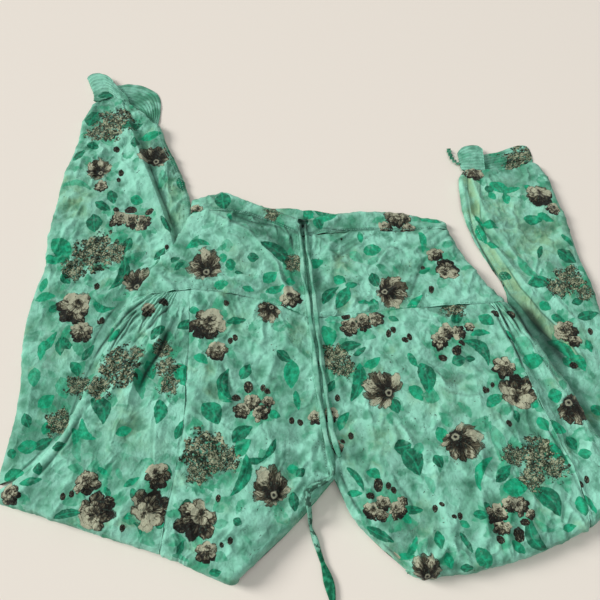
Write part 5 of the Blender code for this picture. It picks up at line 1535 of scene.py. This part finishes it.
def print_group():
    """The whole print as one group: cloth colour from the fields that each piece carries, with the painted
    highlight and shade of the relief, the washes and the closed folds.
    """
    tree = bpy.data.node_groups.new("floral_print", "ShaderNodeTree")
    tree.interface.new_socket("Color", in_out="OUTPUT", socket_type="NodeSocketColor")
    g = Graph(tree)
    cloth = g.field("cloth")
    wear, foliage, _ = g.split(g.field("wear"))
    shade, margin, _ = g.split(g.field("fold"))
    colour = ground_colour(g, cloth)
    bound = g.mul(g.step(margin, -0.4, 0.6), g.step(g.noise(cloth, 0.05, 3.0, 0.6), 0.35, 0.6, 0.3, 0.75))
    colour = g.layer(colour, bound, "strip")
    rim = g.step(g.abs(g.sub(margin, 0.2)), 1.3, 0.3, 0.0, 0.55)
    colour = g.layer(colour, rim, "shadow")
    # Painted highlight on the ridges of the relief, and painted shade in its valleys.
    colour = g.layer(colour, g.step(wear, 0.8, 4.2, 0.0, 0.45), "shallow")
    colour = g.layer(colour, g.step(wear, 0.2, -2.6, 0.0, 0.3), "shadow")
    shape = g.muladd(g.noise(cloth, 0.3, 3.0), 5.0, g.sub(foliage, 2.6))
    faint = g.mul(g.step(shape, 0.6, -0.6), g.step(g.noise(cloth, 0.08, 2.0), 0.35, 0.6, 0.2, 0.8))
    colour = g.layer(colour, faint, "wash")
    colour = leaf_layer(g, cloth, colour)
    u, v, _ = g.split(g.field("bloom"))
    kind, seed, _ = g.split(g.field("bloom_kind"))
    for number, maker in ((ANEMONE, anemone), (ROSE, rose), (SPRAY, spray), (BUD, bud)):
        bloom, cover = maker(g, u, v, seed)
        mine = g.math("COMPARE", kind, float(number), 0.01)
        colour = g.mix(g.mul(cover, mine), colour, bloom)
    faded = g.noise(cloth, 0.35, 3.0, 0.6)
    colour = g.layer(colour, g.step(faded, 0.5, 0.85, 0.0, 0.14), "shallow")
    # Painted shade, darkest in the deepest creases and hollows, and painted shade in the closed folds and
    # gaps.
    colour = g.layer(colour, g.step(wear, -0.6, -4.0, 0.0, 0.3), "deep_shade")
    colour = g.layer(colour, g.step(wear, -4.2, -9.0), "deep_shade")
    colour = g.layer(colour, g.mul(shade, 0.92), "deep_shade")
    output = tree.nodes.new("NodeGroupOutput")
    tree.links.new(colour, output.inputs[0])
    return tree


def new_material(name, roughness, specular):
    """A new material, its shader and the graph that feeds it."""
    material = bpy.data.materials.new(name)
    material.use_nodes = True
    shader = material.node_tree.nodes["Principled BSDF"]
    shader.inputs["Roughness"].default_value = roughness
    shader.inputs["Specular IOR Level"].default_value = specular
    return material, shader, Graph(material.node_tree)


def finish_shader(g, shader, colour, height, strength, distance):
    """Feeds a shader its colour, and a height as bump."""
    bump = g.node("Bump", {"Strength": strength, "Distance": distance, "Height": height})
    g.tree.links.new(colour, shader.inputs["Base Color"])
    g.tree.links.new(bump.outputs[0], shader.inputs["Normal"])


def cloth_height(g, cloth):
    """Threads of the weave, slubs and the finest creases."""
    x, y, _ = g.split(cloth)
    threads = []
    for along, over in ((x, y), (y, x)):
        wave = g.math("SINE", g.mul(along, 2 * math.pi / THREAD_PITCH))
        slub = g.noise(g.join(g.mul(along, 1.6), g.mul(over, 0.05)), 1.0, 1.0)
        threads.append(g.mul(wave, slub))
    weave = g.add(threads[0], threads[1])
    fine = g.noise(g.warp(cloth, 0.09, 8.0), 0.22, 4.0, 0.62)
    crinkle = g.abs(g.sub(g.noise(g.warp(cloth, 0.06, 9.0), 0.1, 2.0), 0.5))
    return g.muladd(crinkle, 2.6, g.muladd(weave, 0.06, g.mul(fine, 1.3)))


def print_material(name, group, strength=0.75):
    """Printed cotton, with the strength of its bump."""
    material, shader, g = new_material(name, 0.9, 0.22)
    cloth = g.field("cloth")
    pattern = g.node("Group", node_tree=group)
    dull = g.step(g.noise(cloth, 0.5, 2.0), 0.2, 0.8, 0.78, 0.95)
    g.tree.links.new(dull, shader.inputs["Roughness"])
    shader.inputs["Sheen Weight"].default_value = 0.12
    shader.inputs["Sheen Roughness"].default_value = 0.5
    finish_shader(g, shader, pattern.outputs[0], cloth_height(g, cloth), strength, 0.0013)
    return material


def plain_material(name, one, other, scale):
    """A plain cotton of two tones, with thread bump."""
    material, shader, g = new_material(name, 0.85, 0.25)
    where = g.node("TexCoord").outputs["Object"]
    colour = g.mix(g.step(g.noise(where, scale, 3.0), 0.35, 0.65), dye(one), dye(other))
    finish_shader(g, shader, colour, g.noise(where, 1400.0, 2.0), 0.5, 0.0004)
    return material


# Pieces


def add_print(thing, surface, faces, copies, blooms, leaves, seed):
    """Gives a piece the fields that its print and its painted highlight and shade are drawn from, on each
    copy of its surface.
    """
    flat = np.stack([surface.print_x, surface.print_y], axis=2).reshape(-1, 2)
    wear = np.broadcast_to(surface.wear, surface.print_x.shape).reshape(-1)
    foliage = leaf_field(surface, foliage_around(blooms, seed))[:, 0]
    fields = {
        "cloth": np.column_stack([flat, 0 * wear]),
        "leaf": leaf_field(surface, leaves),
        "wash": wash_fields(surface),
        "fold": fold_fields(surface),
        # The relief's painted highlight and shade, and the pale foliage.
        "wear": np.column_stack([wear, foliage, 0 * wear]),
    }
    for name, values in fields.items():
        add_field(thing, name, np.tile(values, (copies, 1)))
    place_in, what = bloom_corners(np.tile(flat, (copies, 1)), faces, blooms)
    add_field(thing, "bloom", place_in, "CORNER")
    add_field(thing, "bloom_kind", what, "CORNER")


def dress(thing, material, replaced=None):
    """Gives a piece its material and ties it to the frame."""
    thing.data.materials.append(material)
    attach(thing, "root")
    if replaced:
        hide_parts(replaced)


def cloth_piece(surface, thickness, material, motifs, seed):
    """Makes a piece's shell, with its print."""
    thing, faces = shell_mesh("cloth_" + surface.name, surface, thickness)
    add_print(thing, surface, faces, 2, *motifs, seed)
    dress(thing, material, surface.name)
    return thing


def core_column(one, first, second, station, lower):
    """One section of the hidden layers: distances across and heights, all the way round."""
    whole = first + second
    show = 1 - one.beneath
    top = one.start_top - CORE_DEPTH
    tilt = (one.end_top - one.start_top) / whole
    span = whole - one.beneath * TUCK
    start_rest, end_rest = one.start_rest - CORE_REST, one.end_rest - CORE_REST
    step = 0 if lower else CORE_STEP
    column = []
    for share in np.linspace(0, 1, CORE_EDGE_POINTS):
        lobe = 0.4 + layering(share) * one.roll
        lobe += 0.5 * (1 + math.sin(station * 9 + share * 5)) * one.roll
        column.append((lobe, share * start_rest))
    for angle in np.radians(np.linspace(20, 90, CORE_CORNER_POINTS)):
        inset = EDGE_RADIUS - (EDGE_RADIUS - one.roll * CORE_DEPTH) * math.cos(angle)
        level = top + tilt * inset
        column.append((inset, level - (1 - math.sin(angle)) * one.roll * (level - start_rest)))
    radius = min(EDGE_RADIUS, EDGE_SHARE * second)
    for value in np.linspace(EDGE_RADIUS, span - radius, CORE_TOP_POINTS)[1:-1]:
        column.append((value, top + tilt * value - step * (value > 0.6 * first)))
    for angle in np.radians(np.linspace(90, 20, CORE_CORNER_POINTS)):
        inset = radius - (radius - CORE_DEPTH) * math.cos(angle)
        level = top + tilt * (span - inset) - step
        column.append((span - inset * (show + 0.5 * one.beneath),
                       level - (1 - math.sin(angle)) * show * (level - end_rest)))
    for share in np.linspace(1, 0, CORE_EDGE_POINTS):
        column.append((span - 0.4 - layering(share) * show, share * end_rest))
    column += [(value, 0.0) for value in np.linspace(span - 4, 4, CORE_BOTTOM_POINTS)]
    return np.array(column).T


def layering(share):
    """How far the edge of one of two layers stands back, from the lowest point to the top."""
    return 1.9 * (1 - abs(math.sin(math.pi * 2 * share)) ** 0.6)


def core_surface(name, front_rows, stations, lower):
    """The hidden layers, as a closed ring of points for each section, layered at their edges."""
    section = sections(front_rows, stations)
    first, second = widths(section)
    rings, prints = [], []
    for k, station in enumerate(stations):
        one = Section(*(value[k] for value in section))
        across, height = core_column(one, first[k], second[k], station, lower)
        x, y = place(Section(*(np.atleast_1d(value) for value in one)), across[None])
        rings.append(np.stack([x[0], y[0], height], axis=1))
        run = np.concatenate([[0], np.cumsum(np.hypot(np.diff(across), np.diff(height)))])
        middle = (first[k] + second[k]) / 2
        prints.append(np.stack([run - middle + 700, y[0] * 0 + y[0].mean()], axis=1))
    prints = np.array(prints)
    return Surface(name, np.array(rings), prints[..., 0], prints[..., 1])


def make_core(name, rows, stations, lower, material, seed):
    """The hidden layers as one closed form, with a ladder of faces over each end."""
    surface = core_surface(name, rows, stations, lower)
    count, sides = surface.points.shape[:2]
    grid = np.arange(count * sides).reshape(count, sides)
    turned = np.roll(grid, -1, axis=1)
    quads = np.stack([grid[:-1], turned[:-1], turned[1:], grid[1:]], axis=2).reshape(-1, 4)
    low = np.arange(sides // 2 - 1)
    ladder = np.stack([low, low + 1, sides - 2 - low, sides - 1 - low], axis=1)
    faces = np.concatenate([quads, grid[0][ladder][:, ::-1], grid[-1][ladder]])
    thing = mesh_object("cloth_" + name, surface.points.reshape(-1, 3), faces)
    add_print(thing, surface, faces, 1, *scattered(surface, seed), seed)
    dress(thing, material, name)


def capsule_rings(start, end, radius, sides=6):
    """Rings of a short stitch between two points."""
    axis = end - start
    length = np.linalg.norm(axis)
    axis = axis / length
    side = np.cross(axis, [0, 0, 1.0])
    side /= max(np.linalg.norm(side), 1e-9)
    up = np.cross(side, axis)
    rings = []
    for share, size in STITCH_OUTLINE:
        rise = radius * 0.9 * math.sin(math.pi * share) - radius * 0.2
        centre = start + axis * length * share + up * rise
        turn = np.linspace(0, 2 * math.pi, sides, endpoint=False)
        rings.append(centre + radius * size * (np.cos(turn)[:, None] * side + np.sin(turn)[:, None] * up))
    return rings


def tube_object(name, tubes):
    """Closed tubes, each from its rings of points, as one piece."""
    vertices, faces = [], []
    for rings in tubes:
        base, sides = len(vertices), len(rings[0])
        for ring in rings:
            vertices.extend(ring)
        for start in range(base, len(vertices) - sides, sides):
            for k in range(sides):
                a, b = start + k, start + (k + 1) % sides
                faces.append((a, b, b + sides, a + sides))
        faces.append(tuple(range(base + sides - 1, base - 1, -1)))
        faces.append(tuple(range(len(vertices) - sides, len(vertices))))
    mesh = bpy.data.meshes.new(name)
    mesh.from_pydata([tuple(vertex * MM) for vertex in vertices], [], faces)
    mesh.polygons.foreach_set("use_smooth", np.ones(len(mesh.polygons), bool))
    mesh.update()
    thing = bpy.data.objects.new(name, mesh)
    bpy.context.scene.collection.objects.link(thing)
    return thing


def stitch_object(name, lines, material):
    """Rows of stitches along lines on the cloth, as one piece."""
    stitches = []
    for line in lines:
        steps = np.concatenate([[0], np.cumsum(np.linalg.norm(np.diff(line, axis=0), axis=1))])
        begin = 1.0
        while begin + STITCH_LENGTH < steps[-1] - 1:
            ends = [np.array([np.interp(at, steps, line[:, k]) for k in range(3)])
                    for at in (begin, begin + STITCH_LENGTH)]
            stitches.append(capsule_rings(*ends, STITCH_RADIUS))
            begin += STITCH_LENGTH + STITCH_GAP
    dress(tube_object(name, stitches), material)


def row_line(surface, distance):
    """A line on the cloth at a distance from its last row, short of its ends."""
    lifted = surface.points + surface.normals() * STITCH_LIFT
    nearness = np.abs(seam_distances(surface)[1] - distance)
    columns = range(8, lifted.shape[1] - 8)
    return np.array([lifted[np.argmin(nearness[:, column]), column] for column in columns])


def column_line(surface, distance, last_row=None):
    """A line on the cloth at a distance from its start, down to a row."""
    lifted = surface.points + surface.normals() * STITCH_LIFT
    nearness = np.abs(surface.across - distance)[:last_row]
    return np.array([lifted[row, np.argmin(near)] for row, near in enumerate(nearness)])


def tie_material():
    """The tie: green at its loose end, and paler with dark patches where it lies on the garment."""
    material, shader, g = new_material("tie_cotton", 0.85, 0.25)
    where = g.node("TexCoord").outputs["Object"]
    y = g.split(where)[1]
    patch = g.step(g.noise(g.join(0.0, g.mul(y, 60.0)), 0.6, 2.0), 0.38, 0.62)
    cotton = g.mix(patch, dye("tie_mid"), dye("tie_pale"))
    cotton = g.layer(cotton, g.step(g.noise(where, 260.0, 3.0), 0.5, 0.7, 0.0, 0.4), "tie")
    dark = g.mul(g.step(g.noise(where, 160.0, 2.0), 0.52, 0.58), g.step(y, -0.2, -0.24, 0.0, 0.85))
    cotton = g.layer(cotton, dark, "tie_dark")
    # Darker at its top, where it comes out of the hole: painted shade.
    cotton = g.layer(cotton, g.step(y, 0.085, 0.105, 0.0, 0.8), "deep_shade")
    end = g.mix(g.step(g.noise(where, 200.0, 2.0), 0.4, 0.7), dye("tie"), dye("wash"))
    colour = g.mix(g.step(y, -0.306, -0.312), cotton, end)
    finish_shader(g, shader, colour, g.noise(where, 900.0, 3.0), 0.6, 0.0006)
    return material


def ribbon(name, route, width, thickness, turns, twist_start=0.0, flat_end=0.0, squeeze=0.0):
    """A narrow folded tie that twists as it goes, squeezed at its hole and wider at a flat end."""
    path = smooth_route(route, RIBBON_STEP)
    tangent = np.gradient(path, axis=0)
    tangent /= np.linalg.norm(tangent, axis=1, keepdims=True)
    share = np.linspace(0, 1, len(path))
    final = np.clip((share - 1 + flat_end) / flat_end, 0, 1) if flat_end else 0 * share
    angle = twist_start + 2 * math.pi * turns * np.minimum(share, 1 - flat_end)
    angle = angle + 0.5 * np.sin(share * 37) * (1 - final)
    around = np.linspace(0, 2 * math.pi, RIBBON_SIDES, endpoint=False)
    rings = []
    for k, point in enumerate(path):
        side = np.cross(tangent[k], [0, 0, 1.0])
        side /= max(np.linalg.norm(side), 1e-9)
        over = np.cross(side, tangent[k])
        c, s = math.cos(angle[k]), math.sin(angle[k])
        wide, thin = side * c + over * s, -side * s + over * c
        half = width / 2 * (0.86 + 0.14 * math.sin(share[k] * 61)) * (1 if k < len(path) - 3 else 0.8)
        half *= 1 - squeeze * math.exp(-(k * RIBBON_STEP / 12.0) ** 2)
        if final[k]:
            half *= 0.55 + math.sin(math.pi * (0.1 + 0.75 * final[k]))
        a = np.copysign(np.abs(np.cos(around)) ** 0.6, np.cos(around)) * half
        b = np.copysign(np.abs(np.sin(around)) ** 0.8, np.sin(around)) * thickness / 2
        b *= 1 - 0.35 * np.exp(-(a / (0.3 * half)) ** 2)
        ring = point + wide * a[:, None] + thin * b[:, None]
        ring[:, 2] = np.maximum(ring[:, 2], TIE_LOWEST)
        rings.append(ring)
    return tube_object(name, [rings]), path


def add_ties(material):
    for name, route, turns, flat_end, node in (
        ("tie_long", LONG_END, 3.3, 0.09, "drawstring_long"),
        ("tie_short", SHORT_END, 1.0, 0.0, "drawstring_short"),
    ):
        tie, path = ribbon(name, route, TIE_WIDTH, TIE_THICKNESS, turns, 0.2, flat_end, 0.6)
        dress(tie, material, node)


def add_curl(material):
    """The narrow strip end that curls up beside the right cuff."""
    dress(ribbon("curled_strip_end", CURL, 8.0, 1.4, 0.12)[0], material)


def add_floor():
    bpy.ops.mesh.primitive_plane_add(size=FLOOR_SIZE, location=(0, 0, FLOOR_HEIGHT))
    floor = bpy.context.active_object
    floor.name = "floor"
    material, shader, _ = new_material("floor_paper", 0.9, 0.1)
    shader.inputs["Base Color"].default_value = dye("floor")
    floor.data.materials.append(material)


def area_light(name, place_at, size, power, colour):
    """A square lamp that faces the middle of the garment."""
    data = bpy.data.lights.new(name, "AREA")
    data.size = size
    data.energy = power
    data.color = colour
    lamp = bpy.data.objects.new(name, data)
    lamp.location = place_at
    lamp.rotation_euler = look_angles(-np.array(place_at))
    bpy.context.scene.collection.objects.link(lamp)


def look_angles(direction):
    """Turns an object's own -Z to a direction, with its Y up."""
    d = direction / np.linalg.norm(direction)
    return (math.acos(-d[2]), 0.0, math.atan2(-d[0], d[1]))


def add_lights():
    area_light("key", (-20.5, 4.4, 14.0), 9.5, 5750.0, (1.0, 0.99, 0.975))
    area_light("soft", (0.2, -0.6, 3.8), 2.8, 42.0, (0.98, 0.99, 1.0))
    world = bpy.data.worlds.new("studio")
    bpy.context.scene.world = world
    world.use_nodes = True
    background = world.node_tree.nodes["Background"]
    background.inputs["Color"].default_value = (0.97, 0.98, 1.0, 1)
    background.inputs["Strength"].default_value = 0.235


def add_camera():
    eye, forward, _, _ = eye_axes()
    data = bpy.data.cameras.new("camera")
    data.lens = CAMERA_LENS
    data.sensor_width = CAMERA_SENSOR
    camera = bpy.data.objects.new("camera", data)
    camera.location = eye * MM
    camera.rotation_euler = look_angles(forward)
    bpy.context.scene.collection.objects.link(camera)
    bpy.context.scene.camera = camera
    bpy.context.scene.view_settings.view_transform = "Standard"


def make_surfaces():
    """The surface of each piece that shows, by its name in the frame."""
    surfaces = []
    for side, rows, lower, cuffs, seed in (
        ("left", FRONT_LEFT, LOWER_LEFT, CUFF_LEFT, 100),
        ("right", FRONT_RIGHT, LOWER_RIGHT, CUFF_RIGHT, 300),
    ):
        surfaces += [
            make_casing(side, rows, seed + 50),
            make_yoke(side, rows, seed),
            make_leg_front(side, rows, seed + 1),
            make_side_panel(side, rows, seed + 2),
            make_lower_leg(side, lower, seed + 3),
            make_cuff(side, cuffs, seed + 4),
        ]
    surfaces.append(make_back_casing())
    return {surface.name: surface for surface in surfaces}


def add_cloth(surfaces):
    """The shells of the pieces that show and the hidden layers. Returns the shells by name."""
    group = print_group()
    cotton = print_material("printed_cotton", group)
    casing = print_material("casing_cotton", group, 0.85)
    cuff = print_material("cuff_cotton", group, 0.6)
    hidden = print_material("hidden_cotton", group, 0.7)
    kinds = {
        "waistband": (CASING_THICKNESS, casing, "waist_casing"),
        "cuff": (CUFF_THICKNESS, cuff, "ankle_cuff"),
    }
    chart = charted(list(surfaces.values()))
    pieces = {}
    for name, surface in surfaces.items():
        thickness, material, slot = kinds.get(name.split("_")[0], (THICKNESS, cotton, "printed_cotton"))
        motifs = scattered(surface, 5) if name == "waistband_back" else chart[name]
        pieces[name] = cloth_piece(surface, thickness, material, motifs, len(pieces))
    for side, rows, lower, seed in (
        ("left", FRONT_LEFT, LOWER_LEFT, 5),
        ("right", FRONT_RIGHT, LOWER_RIGHT, 9),
    ):
        thigh = np.linspace(WAIST_SEAM + CORE_CLEARANCE, KNEE - KNEE_CLEARANCE, CORE_ROWS)
        make_core("folded_layers_" + side, rows, thigh, False, hidden, seed)
        under = np.linspace(CUFF_CLEARANCE, len(lower) - 1, CORE_ROWS)
        make_core("under_layer_" + side, lower, under, True, hidden, seed + 1)
    return pieces


def main():
    add_camera()
    thread = plain_material("stitching", "thread", "shallow", 300.0)
    add_ties(tie_material())
    add_curl(plain_material("curl_cotton", "mint", "deep", 120.0))
    surfaces = make_surfaces()
    pieces = add_cloth(surfaces)
    add_stitching(surfaces, thread)
    add_floor()
    add_lights()


def add_stitching(surfaces, thread):
    casings, yokes, centre, lower_legs = [], [], [], []
    for side in ("left", "right"):
        casings.append(row_line(surfaces["waistband_front_" + side], TOPSTITCH))
        yoke = surfaces["yoke_front_" + side]
        yokes.append(row_line(yoke, YOKE_STITCHES))
        leg = surfaces["leg_front_" + side]
        for distance in CENTRE_STITCHES:
            centre.append(column_line(yoke, distance))
            centre.append(column_line(leg, distance, (leg.station[:, 0] <= CROTCH).sum()))
        lower = surfaces["lower_leg_" + side]
        for distance in LOWER_STITCHES:
            lower_legs.append(column_line(lower, distance, (lower.station[:, 0] <= LOWER_SHOWN).sum()))
    stitch_object("topstitching_casing", casings, thread)
    stitch_object("topstitching_yoke", yokes, thread)
    stitch_object("topstitching_centre", centre, thread)
    stitch_object("topstitching_lower_legs", lower_legs, thread)


# What each piece was cut to, before it was gathered and laid: its width and length in metres, its share of
# that rectangle, how it is held and what it rests on.
Cut = namedtuple("Cut", "width length share held rests_on")


main()
